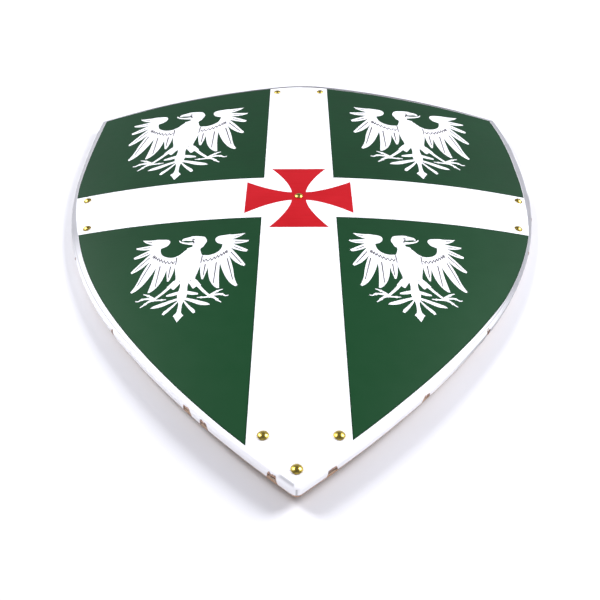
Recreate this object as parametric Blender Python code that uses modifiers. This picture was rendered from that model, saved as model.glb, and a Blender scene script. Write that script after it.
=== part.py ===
"""A curved heater shield, lying face up.

A plywood board, pressed to a shallow curve, carries a thin white cover that wraps its front and
its edge. Ten domed brass nails mark the ends of the painted bands, and two leather straps are
screwed to the bare back. Metres, +Z up, +Y toward the top edge, +X to the right of the face.

Every piece is first laid out flat: x across the face, y up it and depth below the front of the
cover. The flat layout is then rolled on to the cylinder of the face, and the whole shield is
leaned until its two long sides carry it on the floor, level with the board's centre.
"""
from math import asin, atan2, cos, pi, radians, sin, sqrt

import bmesh
import bpy
from mathutils import Matrix, Vector

# Outline, measured on the flat face round the outside of the cover
WIDTH = 0.602
TOP_HEIGHT = 0.3105
TIP_LENGTH = 0.3995
WIDEST_HEIGHT = 0.147
UPPER_SIDE_RADIUS = 0.612
UPPER_SIDE_SWEEP = radians(37)
TOP_SLOPE = radians(10)
PEAK_RADIUS = 0.2075
CORNER_RADIUS = 0.004
TIP_RADIUS = 0.007
LEFT_SHOULDER_TURN = radians(6)
LEFT_SHOULDER_RADIUS = 1.45
LEFT, RIGHT = -1, 1
POINT_SPACING = 0.022
ARC_LEAST_STEPS = 3

# Curve of the face, and the width of the flat columns that follow it
FACE_RADIUS = 1.302
COLUMN_WIDTH = 0.025

# Board and cover
BOARD_THICKNESS = 0.0117
COVER_THICKNESS = 0.0007
COVER_GAP = 0.0003
EDGE_ROUND = 0.0041
EDGE_SEGMENTS = 3
BARE_EDGE = 0.0015
BOARD_DEPTH = COVER_THICKNESS + COVER_GAP
BACK_DEPTH = BOARD_DEPTH + BOARD_THICKNESS
COVER_DEPTH = BACK_DEPTH - BARE_EDGE

# Notches in the cover's edge: side, height above the tip, and width
NOTCHES = (
    (LEFT, 0.1835, 0.010),
    (LEFT, 0.0815, 0.012),
    (LEFT, 0.0655, 0.011),
    (LEFT, 0.0135, 0.011),
    (RIGHT, 0.3285, 0.009),
    (RIGHT, 0.1865, 0.013),
    (RIGHT, 0.0995, 0.011),
    (RIGHT, 0.0205, 0.010),
)
NOTCH_REACH = 0.003

# Nails: the painted cross that they follow sits a little askew on the board
PATTERN_SHIFT = -0.0027
PATTERN_TURN = radians(0.7)
NAIL_PAIR_SPACING = 0.064
TOP_NAIL_INSET = 0.024
LEFT_NAIL_INSET = 0.022
RIGHT_NAIL_INSET = 0.017
LOWER_NAIL_RISE = 0.049
LOWER_LEFT_NAIL_SHIFT = 0.003
TIP_NAIL_INSET = 0.017
NAIL_HEAD_RADIUS = 0.0048
NAIL_HEAD_HEIGHT = 0.0026
NAIL_SHANK_RADIUS = 0.0009
NAIL_LENGTH = 0.0105
NAIL_POINT = 0.0025

# Straps on the back, each bowed out between two flat feet
STRAP_GAP = 0.0005
STRAP_THICKNESS = 0.003
STRAP_RISE = 0.017
STRAP_FOOT = 0.030
STRAP_CENTRE_HEIGHT = 0.030
STRAP_RAMP = 0.3
STRAP_ARCH_SEGMENTS = 14
ARM_STRAP_X = 0.092
ARM_STRAP_WIDTH = 0.042
ARM_STRAP_SPAN = 0.165
HAND_STRAP_X = -0.088
HAND_STRAP_WIDTH = 0.030
HAND_STRAP_SPAN = 0.130
STRAPS = (
    ('arm_strap', ARM_STRAP_X, ARM_STRAP_WIDTH, ARM_STRAP_SPAN),
    ('hand_strap', HAND_STRAP_X, HAND_STRAP_WIDTH, HAND_STRAP_SPAN),
)

# Pan-head screws, two in each foot of a strap
SCREW_HEAD_RADIUS = 0.0038
SCREW_HEAD_HEIGHT = 0.0022
SCREW_SHANK_RADIUS = 0.0017
SCREW_BITE = 0.0085
SCREW_EDGE_DISTANCE = 0.0085

# Clearances and round-piece resolution
SEAT_GAP = 0.0003
HEAD_RIM = 0.0004
HOLE_CLEARANCE = 0.0003
HOLE_SIDES = 10
TURNED_STEPS = 14
DOME_SEGMENTS = 4
SHARP_ANGLE = radians(40)
CUT_MARGIN = 0.002
MERGE_DISTANCE = 0.00005
UNMOVED = Matrix.Identity(4)


def arc_points(centre, radius, start, end):
    """Points and outward normals on an arc, from one normal angle to another, both ends included."""
    steps = max(ARC_LEAST_STEPS, round(abs(end - start) * radius / POINT_SPACING))
    points = []
    for step in range(steps + 1):
        angle = start + (end - start) * step / steps
        normal = Vector((cos(angle), sin(angle)))
        points.append((centre + radius * normal, normal))
    return points


def half_outline(side):
    """One half of the outline, laid out to the right, from the top's peak round to the tip.

    It is a list of points with outward normals. The left side is straighter above its shoulder.
    """
    upper_centre = Vector((WIDTH / 2 - UPPER_SIDE_RADIUS, WIDEST_HEIGHT))
    join_normal = Vector((cos(UPPER_SIDE_SWEEP), -sin(UPPER_SIDE_SWEEP)))
    join = upper_centre + UPPER_SIDE_RADIUS * join_normal

    # The lower side leaves the upper one smoothly and runs into the rounded tip
    tip_centre = Vector((0, TIP_RADIUS - TIP_LENGTH))
    reach = join - tip_centre
    lower_radius = (reach.length_squared - TIP_RADIUS ** 2) / (2 * (reach.dot(join_normal) - TIP_RADIUS))
    lower_centre = join - lower_radius * join_normal
    to_tip = tip_centre - lower_centre
    tip_angle = atan2(to_tip.y, to_tip.x)

    # Its upper end runs on in the same arc, or on the left in a straighter one
    side_centre, side_radius, side_end = upper_centre, UPPER_SIDE_RADIUS, -UPPER_SIDE_SWEEP
    if side == LEFT:
        side_end = -LEFT_SHOULDER_TURN
        side_radius = LEFT_SHOULDER_RADIUS
        shoulder_normal = Vector((cos(side_end), sin(side_end)))
        side_centre = upper_centre + (UPPER_SIDE_RADIUS - side_radius) * shoulder_normal

    # The top is a rounded peak between two straight slopes, each rounded into its side
    peak_centre = Vector((0, TOP_HEIGHT - PEAK_RADIUS))
    slope_normal = Vector((sin(TOP_SLOPE), cos(TOP_SLOPE)))
    slope_start = peak_centre + PEAK_RADIUS * slope_normal
    inner_start = slope_start - CORNER_RADIUS * slope_normal
    along = Vector((cos(TOP_SLOPE), -sin(TOP_SLOPE)))
    offset = inner_start - side_centre
    middle = offset.dot(along)
    length = sqrt(middle ** 2 - offset.length_squared + (side_radius - CORNER_RADIUS) ** 2) - middle
    corner_centre = inner_start + length * along
    to_corner = corner_centre - side_centre
    corner_angle = atan2(to_corner.y, to_corner.x)
    slope_angle = pi / 2 - TOP_SLOPE

    points = arc_points(peak_centre, PEAK_RADIUS, pi / 2, slope_angle)
    points += arc_points(corner_centre, CORNER_RADIUS, slope_angle, corner_angle)
    points += arc_points(side_centre, side_radius, corner_angle, side_end)[1:]
    if side == LEFT:
        points += arc_points(upper_centre, UPPER_SIDE_RADIUS, side_end, -UPPER_SIDE_SWEEP)[1:]
    points += arc_points(lower_centre, lower_radius, -UPPER_SIDE_SWEEP, tip_angle)[1:]
    points += arc_points(tip_centre, TIP_RADIUS, tip_angle, -pi / 2)[1:]
    return points


def outline(inset=0.0):
    """The whole outline, clockwise from the peak, moved inward by a small inset."""
    right = [point - inset * normal for point, normal in half_outline(RIGHT)]
    left = [point - inset * normal for point, normal in half_outline(LEFT)[1:-1]]
    return right + [Vector((-point.x, point.y)) for point in reversed(left)]


def half_width(side, height):
    """How far the cover reaches to one side at a height."""
    edge = [point for point, normal in half_outline(side) if normal.x > normal.y]
    for above, below in zip(edge, edge[1:]):
        if above.y >= height >= below.y:
            share = (above.y - height) / (above.y - below.y)
            return above.x + (below.x - above.x) * share
    return 0.0


def rolled(x, y, depth):
    """A point of the flat layout, carried on to the cylinder of the face."""
    angle = x / FACE_RADIUS
    radius = FACE_RADIUS - depth
    return Vector((radius * sin(angle), y, radius * cos(angle) - FACE_RADIUS))


def rolled_frame(x, y, depth, turn=0.0):
    """Placement of a piece at a flat point: +Z out of the face there, turned about that axis."""
    place = Matrix.Translation(rolled(x, y, depth))
    return place @ Matrix.Rotation(x / FACE_RADIUS, 4, 'Y') @ Matrix.Rotation(turn, 4, 'Z')


def on_pattern(across, up):
    """A point of the painted cross, on the flat board."""
    x = across * cos(PATTERN_TURN) - up * sin(PATTERN_TURN) + PATTERN_SHIFT
    y = across * sin(PATTERN_TURN) + up * cos(PATTERN_TURN)
    return x, y


def clear_scene():
    for item in list(bpy.data.objects):
        bpy.data.objects.remove(item)


def make_collection(name):
    collection = bpy.data.collections.new(name)
    bpy.context.scene.collection.children.link(collection)
    return collection


def make_material(name, colour, roughness, metallic=0.0):
    material = bpy.data.materials.new(name)
    material.use_nodes = True
    shader = material.node_tree.nodes['Principled BSDF']
    shader.inputs['Base Color'].default_value = (*colour, 1.0)
    shader.inputs['Roughness'].default_value = roughness
    shader.inputs['Metallic'].default_value = metallic
    return material


def add_piece(name, mesh, place=UNMOVED):
    """One piece of the shield, placed in the shield's own frame."""
    item = bpy.data.objects.new(name, mesh)
    item.matrix_local = place
    item.parent = shield
    parts.objects.link(item)
    return item


def add_shaped_piece(name, bm, material, place=UNMOVED):
    mesh = bpy.data.meshes.new(name)
    bm.to_mesh(mesh)
    bm.free()
    mesh.materials.append(material)
    return add_piece(name, mesh, place)


def add_cutter(name, bm):
    mesh = bpy.data.meshes.new(name)
    bm.to_mesh(mesh)
    bm.free()
    item = bpy.data.objects.new(name, mesh)
    item.parent = shield
    item.hide_render = True
    item.display_type = 'WIRE'
    cutters.objects.link(item)
    return item


def cut(item, cutter):
    boolean = item.modifiers.new(cutter.name, 'BOOLEAN')
    boolean.operation = 'DIFFERENCE'
    boolean.solver = 'EXACT'
    boolean.object = cutter


def flat_slab(inset, top_depth, bottom_depth, edge_round):
    """A flat slab of the shield's outline, its front edge rounded over."""
    bm = bmesh.new()
    rim = [bm.verts.new((point.x, point.y, -top_depth)) for point in outline(inset)]
    face = bm.faces.new(reversed(rim))
    extruded = bmesh.ops.extrude_face_region(bm, geom=[face])
    moved = [part for part in extruded['geom'] if isinstance(part, bmesh.types.BMVert)]
    drop = Vector((0, 0, top_depth - bottom_depth))
    bmesh.ops.translate(bm, vec=drop, verts=moved)
    bmesh.ops.recalc_face_normals(bm, faces=bm.faces)
    middle = -(top_depth + bottom_depth) / 2
    front_edges = [edge for edge in bm.edges if all(vert.co.z > middle for vert in edge.verts)]
    bmesh.ops.bevel(bm, geom=front_edges, offset=edge_round, segments=EDGE_SEGMENTS, profile=0.5,
                    affect='EDGES', clamp_overlap=True)
    return bm


def roll_slab(bm):
    """Divide a flat slab into narrow columns and roll it on to the cylinder of the face."""
    columns = int(WIDTH / 2 / COLUMN_WIDTH)
    for column in range(-columns, columns + 1):
        geometry = list(bm.verts) + list(bm.edges) + list(bm.faces)
        line = (column * COLUMN_WIDTH, 0, 0)
        bmesh.ops.bisect_plane(bm, geom=geometry, plane_co=line, plane_no=(1, 0, 0))
    bmesh.ops.remove_doubles(bm, verts=bm.verts, dist=MERGE_DISTANCE)
    bmesh.ops.triangulate(bm, faces=[face for face in bm.faces if len(face.verts) > 4])
    for vert in bm.verts:
        vert.co = rolled(vert.co.x, vert.co.y, -vert.co.z)


def make_board(material):
    bm = flat_slab(BOARD_DEPTH, BOARD_DEPTH, BACK_DEPTH, EDGE_ROUND - BOARD_DEPTH)
    roll_slab(bm)
    return add_shaped_piece('plywood_board', bm, material)


def make_cover(material):
    """The cover's outer skin, open behind, thickened inward."""
    bm = flat_slab(0.0, 0.0, COVER_DEPTH, EDGE_ROUND)
    underside = min(bm.faces, key=lambda face: face.normal.z)
    bmesh.ops.delete(bm, geom=[underside], context='FACES')
    roll_slab(bm)
    cover = add_shaped_piece('painted_cover', bm, material)
    shell = cover.modifiers.new('thickness', 'SOLIDIFY')
    shell.thickness = COVER_THICKNESS
    shell.offset = -1
    shell.use_even_offset = True
    return cover


def notch_cutters():
    """Blocks that take a bite out of the cover's lower edge, down to the board and no further."""
    bm = bmesh.new()
    height = COVER_DEPTH - EDGE_ROUND
    for side, rise, width in NOTCHES:
        level = rise - TIP_LENGTH
        here = half_width(side, level)
        slope = atan2(half_width(side, level + width) - half_width(side, level - width), 2 * width)
        place = rolled_frame(side * here, level, COVER_DEPTH, side * -slope)
        size = Matrix.Diagonal((2 * NOTCH_REACH, width, 2 * height, 1))
        bmesh.ops.create_cube(bm, size=1, matrix=place @ size)
    return add_cutter('notch_cutters', bm)


def nail_places():
    """Name and flat place of every nail, following the painted cross."""
    half = NAIL_PAIR_SPACING / 2
    places = [('centre_nail', on_pattern(0, 0))]
    for word, across, shift in (('left', -half, LOWER_LEFT_NAIL_SHIFT), ('right', half, 0.0)):
        places.append(('top_nail_' + word, on_pattern(across, TOP_HEIGHT - TOP_NAIL_INSET)))
        places.append(('lower_nail_' + word, on_pattern(across + shift, LOWER_NAIL_RISE - TIP_LENGTH)))
    for word, up in (('upper', half), ('lower', -half)):
        left = LEFT_NAIL_INSET - half_width(LEFT, up)
        right = half_width(RIGHT, up) - RIGHT_NAIL_INSET
        places.append(('left_nail_' + word, (left, on_pattern(left, up)[1])))
        places.append(('right_nail_' + word, (right, on_pattern(right, up)[1])))
    places.append(('tip_nail', (0.0, TIP_NAIL_INSET - TIP_LENGTH)))
    return places


def turned_mesh(name, profile, material):
    """A mesh turned from a profile of (radius, height) points that runs down its outer side."""
    mesh = bpy.data.meshes.new(name + '_profile')
    edges = [(index, index + 1) for index in range(len(profile) - 1)]
    mesh.from_pydata([(radius, 0, height) for radius, height in profile], edges, [])
    item = bpy.data.objects.new(name + '_profile', mesh)
    parts.objects.link(item)
    screw = item.modifiers.new('turn', 'SCREW')
    screw.axis = 'Z'
    screw.steps = TURNED_STEPS
    screw.render_steps = TURNED_STEPS
    screw.use_merge_vertices = True
    screw.merge_threshold = 0.00001
    depsgraph = bpy.context.evaluated_depsgraph_get()
    turned = bpy.data.meshes.new_from_object(item.evaluated_get(depsgraph))
    turned.name = name
    bpy.data.objects.remove(item)
    turned.materials.clear()
    turned.materials.append(material)
    turned.shade_smooth()
    turned.set_sharp_from_angle(angle=SHARP_ANGLE)
    return turned


def head_profile(radius, height):
    """A domed head: part of a circle from its top to its rim, then the rim's own thickness."""
    dome = height - HEAD_RIM
    ball = (radius ** 2 + dome ** 2) / (2 * dome)
    sweep = asin(radius / ball)
    points = []
    for step in range(DOME_SEGMENTS + 1):
        angle = sweep * step / DOME_SEGMENTS
        points.append((ball * sin(angle), SEAT_GAP + height - ball * (1 - cos(angle))))
    points.append((radius, SEAT_GAP))
    return points


def make_nails(material):
    """Domed nails with pointed shanks, sunk through the cover into the board."""
    profile = head_profile(NAIL_HEAD_RADIUS, NAIL_HEAD_HEIGHT)
    profile += [(NAIL_SHANK_RADIUS, SEAT_GAP), (NAIL_SHANK_RADIUS, NAIL_POINT - NAIL_LENGTH)]
    profile.append((0, -NAIL_LENGTH))
    mesh = turned_mesh('nail', profile, material)
    for name, (x, y) in nail_places():
        add_piece(name, mesh, rolled_frame(x, y, 0))


def drill(bm, place, radius, high, low):
    """Add one closed cylinder to a set of hole cutters, from high to low along its own axis."""
    length = high - low
    centre = place @ Matrix.Translation((0, 0, (high + low) / 2))
    bmesh.ops.create_cone(bm, cap_ends=True, segments=HOLE_SIDES, radius1=radius, radius2=radius,
                          depth=length, matrix=centre)


def nail_holes():
    bm = bmesh.new()
    for name, (x, y) in nail_places():
        drill(bm, rolled_frame(x, y, 0), NAIL_SHANK_RADIUS + HOLE_CLEARANCE, CUT_MARGIN,
              -NAIL_LENGTH - HOLE_CLEARANCE)
    return add_cutter('nail_holes', bm)


def strap_seat(width):
    """How far below the front a strap's underside lies, clear of the board's hollow back."""
    back_radius = FACE_RADIUS - BACK_DEPTH
    hollow = back_radius - sqrt(back_radius ** 2 - (width / 2) ** 2)
    return BACK_DEPTH + STRAP_GAP + hollow


def strap_line(span):
    """Centre line of a strap's side: a flat foot, a smooth bow and the other foot."""
    ends = span / 2 + STRAP_FOOT
    line = [(-ends, 0.0)]
    for step in range(STRAP_ARCH_SEGMENTS + 1):
        share = step / STRAP_ARCH_SEGMENTS
        climb = min(1.0, min(share, 1 - share) / STRAP_RAMP)
        rise = STRAP_RISE * climb ** 2 * (3 - 2 * climb)
        line.append((span * (share - 0.5), rise))
    line.append((ends, 0.0))
    return line


def make_strap(name, x, width, span, material, screw_holes):
    """A leather band across the back, its loop open to both sides of the shield."""
    bm = bmesh.new()
    rows = []
    for along, rise in strap_line(span):
        rows.append([bm.verts.new((side * width / 2, along, -rise)) for side in (LEFT, RIGHT)])
    for row, following in zip(rows, rows[1:]):
        bm.faces.new((row[0], row[1], following[1], following[0]))
    seat = rolled_frame(x, STRAP_CENTRE_HEIGHT, strap_seat(width))
    strap = add_shaped_piece(name, bm, material, seat)
    shell = strap.modifiers.new('thickness', 'SOLIDIFY')
    shell.thickness = STRAP_THICKNESS
    shell.offset = -1
    shell.use_even_offset = True
    cut(strap, screw_holes)


def screw_places():
    """Name and placement of every strap screw, its axis pointing out of the back."""
    places = []
    for strap, x, width, span in STRAPS:
        across = width / 2 - SCREW_EDGE_DISTANCE
        for foot, end in (('upper', 1), ('lower', -1)):
            along = end * (span + STRAP_FOOT) / 2
            for word, side in (('left', LEFT), ('right', RIGHT)):
                seat = rolled_frame(x, STRAP_CENTRE_HEIGHT, strap_seat(width) + STRAP_THICKNESS)
                place = seat @ Matrix.Translation((side * across, along, 0)) @ Matrix.Rotation(pi, 4, 'X')
                places.append((f'{strap}_screw_{foot}_{word}', place))
    return places


def make_screws(material):
    length = STRAP_THICKNESS + STRAP_GAP + SCREW_BITE
    profile = head_profile(SCREW_HEAD_RADIUS, SCREW_HEAD_HEIGHT)
    profile += [(SCREW_SHANK_RADIUS, SEAT_GAP), (SCREW_SHANK_RADIUS, SCREW_SHANK_RADIUS - length)]
    profile.append((0, -length))
    mesh = turned_mesh('screw', profile, material)
    for name, place in screw_places():
        add_piece(name, mesh, place)


def screw_hole_cutters():
    bm = bmesh.new()
    length = STRAP_THICKNESS + STRAP_GAP + SCREW_BITE
    for name, place in screw_places():
        drill(bm, place, SCREW_SHANK_RADIUS + HOLE_CLEARANCE, CUT_MARGIN, -length - HOLE_CLEARANCE)
    return add_cutter('screw_holes', bm)


def lean_angle():
    """Lean at which the two sides meet the floor level with the centre of the board's area."""
    flat = outline(BOARD_DEPTH)
    area = moment = 0.0
    for here, following in zip(flat, flat[1:] + flat[:1]):
        slice_area = here.cross(following) / 2
        area += slice_area
        moment += slice_area * (here.y + following.y) / 3
    above = moment / area + POINT_SPACING
    below = moment / area - POINT_SPACING
    lower_point = rolled(half_width(RIGHT, below), below, BACK_DEPTH)
    upper_point = rolled(half_width(RIGHT, above), above, BACK_DEPTH)
    return atan2(lower_point.z - upper_point.z, above - below)


def lay_down():
    """Lean the shield on its long sides, its lowest points on the floor and its box centred."""
    lean = Matrix.Rotation(lean_angle(), 4, 'X')
    rim = [lean @ rolled(point.x, point.y, BACK_DEPTH) for point in outline(BOARD_DEPTH)]
    for depth in (EDGE_ROUND, COVER_DEPTH):
        rim += [lean @ rolled(point.x, point.y, depth) for point in outline()]
    lowest = min(point.z for point in rim)
    middle = [(max(point[axis] for point in rim) + min(point[axis] for point in rim)) / 2 for axis in (0, 1)]
    shield.matrix_world = Matrix.Translation((-middle[0], -middle[1], -lowest)) @ lean


clear_scene()
parts = make_collection('heater_shield')
cutters = make_collection('cutters')
shield = bpy.data.objects.new('shield_at_rest', None)
parts.objects.link(shield)

plywood = make_material('plywood', (0.58, 0.40, 0.23), 0.65)
cover_white = make_material('cover_white', (0.88, 0.88, 0.87), 0.35)
brass = make_material('brass', (0.80, 0.58, 0.20), 0.25, 1.0)
leather = make_material('leather', (0.23, 0.11, 0.05), 0.6)
steel = make_material('dark_steel', (0.25, 0.24, 0.23), 0.4, 1.0)

nail_hole_cutter = nail_holes()
screw_hole_cutter = screw_hole_cutters()
board = make_board(plywood)
cover = make_cover(cover_white)
cut(board, nail_hole_cutter)
cut(board, screw_hole_cutter)
cut(cover, nail_hole_cutter)
cut(cover, notch_cutters())
make_nails(brass)
for strap_name, strap_x, strap_width, strap_span in STRAPS:
    make_strap(strap_name, strap_x, strap_width, strap_span, leather, screw_hole_cutter)
make_screws(steel)
lay_down()
bpy.context.view_layer.update()
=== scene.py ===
from math import asin, atan2, cos, pi, radians, sin, sqrt, tan

import bpy
from mathutils import Matrix, Vector, noise
from mathutils.geometry import delaunay_2d_cdt


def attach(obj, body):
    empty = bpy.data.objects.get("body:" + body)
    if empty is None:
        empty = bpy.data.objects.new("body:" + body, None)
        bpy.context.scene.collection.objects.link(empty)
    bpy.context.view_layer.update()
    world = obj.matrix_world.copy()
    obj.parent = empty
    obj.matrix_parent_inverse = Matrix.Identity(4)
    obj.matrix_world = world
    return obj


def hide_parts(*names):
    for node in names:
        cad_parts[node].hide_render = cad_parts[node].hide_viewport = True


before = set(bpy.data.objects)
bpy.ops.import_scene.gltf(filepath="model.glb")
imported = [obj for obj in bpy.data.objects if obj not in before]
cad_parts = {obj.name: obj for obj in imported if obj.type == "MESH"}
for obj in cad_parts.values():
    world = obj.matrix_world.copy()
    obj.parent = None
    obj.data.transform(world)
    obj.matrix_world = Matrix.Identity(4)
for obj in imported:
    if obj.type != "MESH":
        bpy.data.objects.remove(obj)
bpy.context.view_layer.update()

# Outline of the flat face
WIDTH = 0.602
TOP_HEIGHT = 0.3105
TIP_LENGTH = 0.3995
WIDEST_HEIGHT = 0.147
UPPER_SIDE_RADIUS = 0.612
UPPER_SIDE_SWEEP = radians(37)
TOP_SLOPE = radians(10)
PEAK_RADIUS = 0.2075
CORNER_RADIUS = 0.004
TIP_RADIUS = 0.007
LEFT_SHOULDER_TURN = radians(6)
LEFT_SHOULDER_RADIUS = 1.45
LEFT, RIGHT = -1, 1

# Board, cover and the way they lie
FACE_RADIUS = 1.302
BOARD_DEPTH = 0.001
BACK_DEPTH = 0.0127
COVER_DEPTH = 0.0112
COVER_THICKNESS = 0.0007
EDGE_ROUND = 0.0041
FRONT_INSET = 0.0039
BACK_ARRIS = 0.0005
LEAN = radians(2.7748)
REST_PLACE = (0.0022296, 0.0440775, 0.0428069)
AT_REST = Matrix.Translation(REST_PLACE) @ Matrix.Rotation(LEAN, 4, 'X')

# Mesh spacings, and the steps and inset of the points spread over a face
OUTLINE_STEP = 0.004
FINE_STEP = 0.0006
SMALL_ARC_STEP = 0.0008
SMALL_ARC = 0.02
ROUND_STEPS = 9
WALL_STEPS = 5
FINE_AT_TIP = {LEFT: 0.024, RIGHT: 0.0022}
FINE_BESIDE_NOTCH = 0.0025
BAND_LINE_STEP = 0.002
LINE_OVERRUN = 0.004
FRONT_SPREAD = (0.012, 0.024, 0.0085)
BACK_SPREAD = (0.012, 0.024, 0.006)
HIDDEN_SPREAD = (0.024, 0.060, 0.008)
BAND_LINE_SHARE = 0.7
RIM_CLEARANCE = 0.00005
CURVE_STEPS = 4
BEND_STEPS = 6

# The cover's run from its face round the edge to its lip
ROUND_RUN = EDGE_ROUND * pi / 2
LIP_RUN = ROUND_RUN + COVER_DEPTH - EDGE_ROUND - 0.0007

# The cover's rows: where they lie on its run, and inset and greatest depth of those inside
COVER_RUNS = [0.0002] + [ROUND_RUN * step / ROUND_STEPS for step in range(1, ROUND_STEPS + 1)]
WALL_RUN = LIP_RUN - ROUND_RUN
COVER_RUNS += [ROUND_RUN + WALL_RUN * step / WALL_STEPS for step in range(1, WALL_STEPS - 1)]
COVER_RUNS += [LIP_RUN - 0.0020, LIP_RUN - 0.0012, LIP_RUN]
INNER_ROWS = (
    (0.0009, COVER_DEPTH), (COVER_THICKNESS, EDGE_ROUND), (0.0019, 0.0018), (FRONT_INSET, COVER_THICKNESS),
)

# Notches and small nicks torn from the lip: side, height above the tip, width and reach
NOTCHES = (
    (LEFT, 0.1835, 0.0060, 0.0098), (LEFT, 0.0815, 0.0120, 0.0084),
    (LEFT, 0.0655, 0.0110, 0.0082), (LEFT, 0.0135, 0.0120, 0.0088),
    (RIGHT, 0.3285, 0.0060, 0.0096), (RIGHT, 0.1865, 0.0085, 0.0104),
    (RIGHT, 0.0995, 0.0120, 0.0072), (RIGHT, 0.0205, 0.0120, 0.0074),
    (LEFT, 0.3095, 0.0035, 0.0105), (RIGHT, 0.4015, 0.0040, 0.0095),
)
LIP_WAVES = ((0.0004, 45, 3.7), (0.0003, 170, 5.1))
RAGGED_WIDTH, RAGGED_REACH = 0.12, 0.16
BITE_START, BITE_BLEND = 0.66, 0.36

# The lip's tuck and its lift in a tear, the darker strip along it, and the painted shadow, with some old
# glue, on the wood under the torn cover in a notch
LIP_SHARE, LIP_TUCK, TEAR_LIFT = 0.86, 0.00025, 0.0004
LIP_STRIP_REACH, LIP_STRIP_BLEND, LIP_STRIP_DARK = 0.0010, 0.0008, 0.88
NOTCH_SHADE_START, NOTCH_SHADE_BLEND = 0.35, 0.3
NOTCH_SHADE_REACH, NOTCH_SHADE_FADE = 0.0034, 0.0020

# Fold and seam of the cover at the tip, and the painted shade along the fold's crease and in the seam
FOLD_START, FOLD_START_BLEND = 0.0015, 0.003
FOLD_END, FOLD_END_BLEND = 0.016, 0.005
FOLD_PRESS = 0.00035
CREASE_SHADE_RUN, CREASE_SHADE_HALF = 0.0014, 0.0024
SEAM_HALF, SEAM_BLEND, SEAM_DENT = 0.0004, 0.0006, 0.0004
SEAM_RUNS = (0.0045, 0.0115)

# Painted pattern
PATTERN_SHIFT = -0.0027
PATTERN_TURN = radians(0.7)
TOP_MARGIN = {LEFT: 0.0060, RIGHT: 0.0078}
SIDE_MARGINS = {
    LEFT: ((-0.345, 0.0056), (-0.200, 0.0084), (-0.043, 0.0090), (0.043, 0.0062), (0.074, 0.0060),
           (0.210, 0.0083)),
    RIGHT: ((-0.310, 0.0080), (-0.200, 0.0062), (-0.165, 0.0046), (-0.043, 0.0042), (0.043, 0.0092),
            (0.120, 0.0116), (0.210, 0.0095)),
}
BAND_HALF = 0.0425
FIELD_RIM = 0.0020

# Nails
NAIL_PAIR_SPACING = 0.064
TOP_NAIL_INSET = 0.024
LEFT_NAIL_INSET = 0.022
RIGHT_NAIL_INSET = 0.017
LOWER_NAIL_RISE = 0.049
LOWER_LEFT_NAIL_SHIFT = 0.003
TIP_NAIL_INSET = 0.017
NAIL_HEAD_RADIUS = 0.0048
NAIL_HEAD_HEIGHT = 0.0026
NAIL_SHANK_RADIUS = 0.0009
NAIL_LENGTH = 0.0105
NAIL_POINT = 0.0025
SEAT_GAP = 0.0003
HEAD_RIM = 0.0004
DOME_SHARE = 0.97
NAIL_ROLL = 0.00022
NAIL_LEAN = radians(1.5)

# Straps and their screws
STRAP_GAP = 0.0005
STRAP_THICKNESS = 0.003
STRAP_RISE = 0.017
STRAP_FOOT = 0.030
STRAP_CENTRE_HEIGHT = 0.030
STRAP_RAMP = 0.3
STRAP_CORNER = 0.007
SLOPE_STEP = 0.0005
STRAP_SAG = 0.0004
STRAP_ROUND, STRAP_UNDER_ROUND = 0.0011, 0.0006
CREASE_INSET = 0.0033
STRAP_CREASE = ((-0.0007, 0), (-0.0003, 0.0002), (0, 0.00034), (0.0003, 0.0002), (0.0007, 0))
STRAPS = (
    ('arm_strap', 0.092, 0.042, 0.165),
    ('hand_strap', -0.088, 0.030, 0.130),
)
SCREW_HEAD_RADIUS = 0.0038
SCREW_HEAD_HEIGHT = 0.0022
SCREW_SHANK_RADIUS = 0.0017
SCREW_BITE = 0.0085
SCREW_EDGE_DISTANCE = 0.0085
SCREW_ROLL = 0.0003
SCREW_TURN = 0.83
RECESS_REACH, RECESS_HALF, RECESS_DEPTH = 0.0022, 0.00048, 0.0021
RECESS_TAPER = 0.62
RECESS_CLEARANCE = 0.0008

# Places in the baked image: left, bottom and scale of each area, then the strips of the long edge
COVER_BAKE = {
    ('front', 'white_cover'): (0.245, 0.325, 0.80), ('front', 'green_paint'): (0.745, 0.325, 0.80),
    ('front', 'red_paint'): (0.07, 0.68, 0.80), ('front', 'ink'): (0.27, 0.75, 0.32),
    ('inside', 'white_cover'): (0.95, 0.95, 0.08),
}
COVER_STRIPS = (0.45, 0.60, 0.5, 0.035, 1.9)
BOARD_BAKE = {('back', 'plywood_back'): (0.31, 0.41, 1.0), ('front', 'plywood_edge'): (0.70, 0.85, 0.3)}
BOARD_STRIPS = (0.64, 0.05, 0.33, 0.05, 2.0)
STRIP_COUNT = 8
STRIPS_CENTRE = -0.05


def rolled(x, y, depth):
    """A point of the flat layout, carried on to the cylinder of the face."""
    angle = x / FACE_RADIUS
    radius = FACE_RADIUS - depth
    return Vector((radius * sin(angle), y, radius * cos(angle) - FACE_RADIUS))


def placed(x, y, depth):
    """A point of the flat layout where it lies on the shield at rest."""
    return AT_REST @ rolled(x, y, depth)


def facing(x, across, up, out):
    """A direction of the flat layout at a distance across the face, as it points at rest."""
    angle = x / FACE_RADIUS
    turn = Vector((across * cos(angle) + out * sin(angle), up, out * cos(angle) - across * sin(angle)))
    return AT_REST.to_3x3() @ turn


def seat(x, y, depth):
    """Placement of a piece at a flat point: +Z out of the face there."""
    return AT_REST @ Matrix.Translation(rolled(x, y, depth)) @ Matrix.Rotation(x / FACE_RADIUS, 4, 'Y')


def on_pattern(across, up):
    """A point of the painted cross, on the flat board."""
    x = across * cos(PATTERN_TURN) - up * sin(PATTERN_TURN) + PATTERN_SHIFT
    y = across * sin(PATTERN_TURN) + up * cos(PATTERN_TURN)
    return x, y


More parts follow.
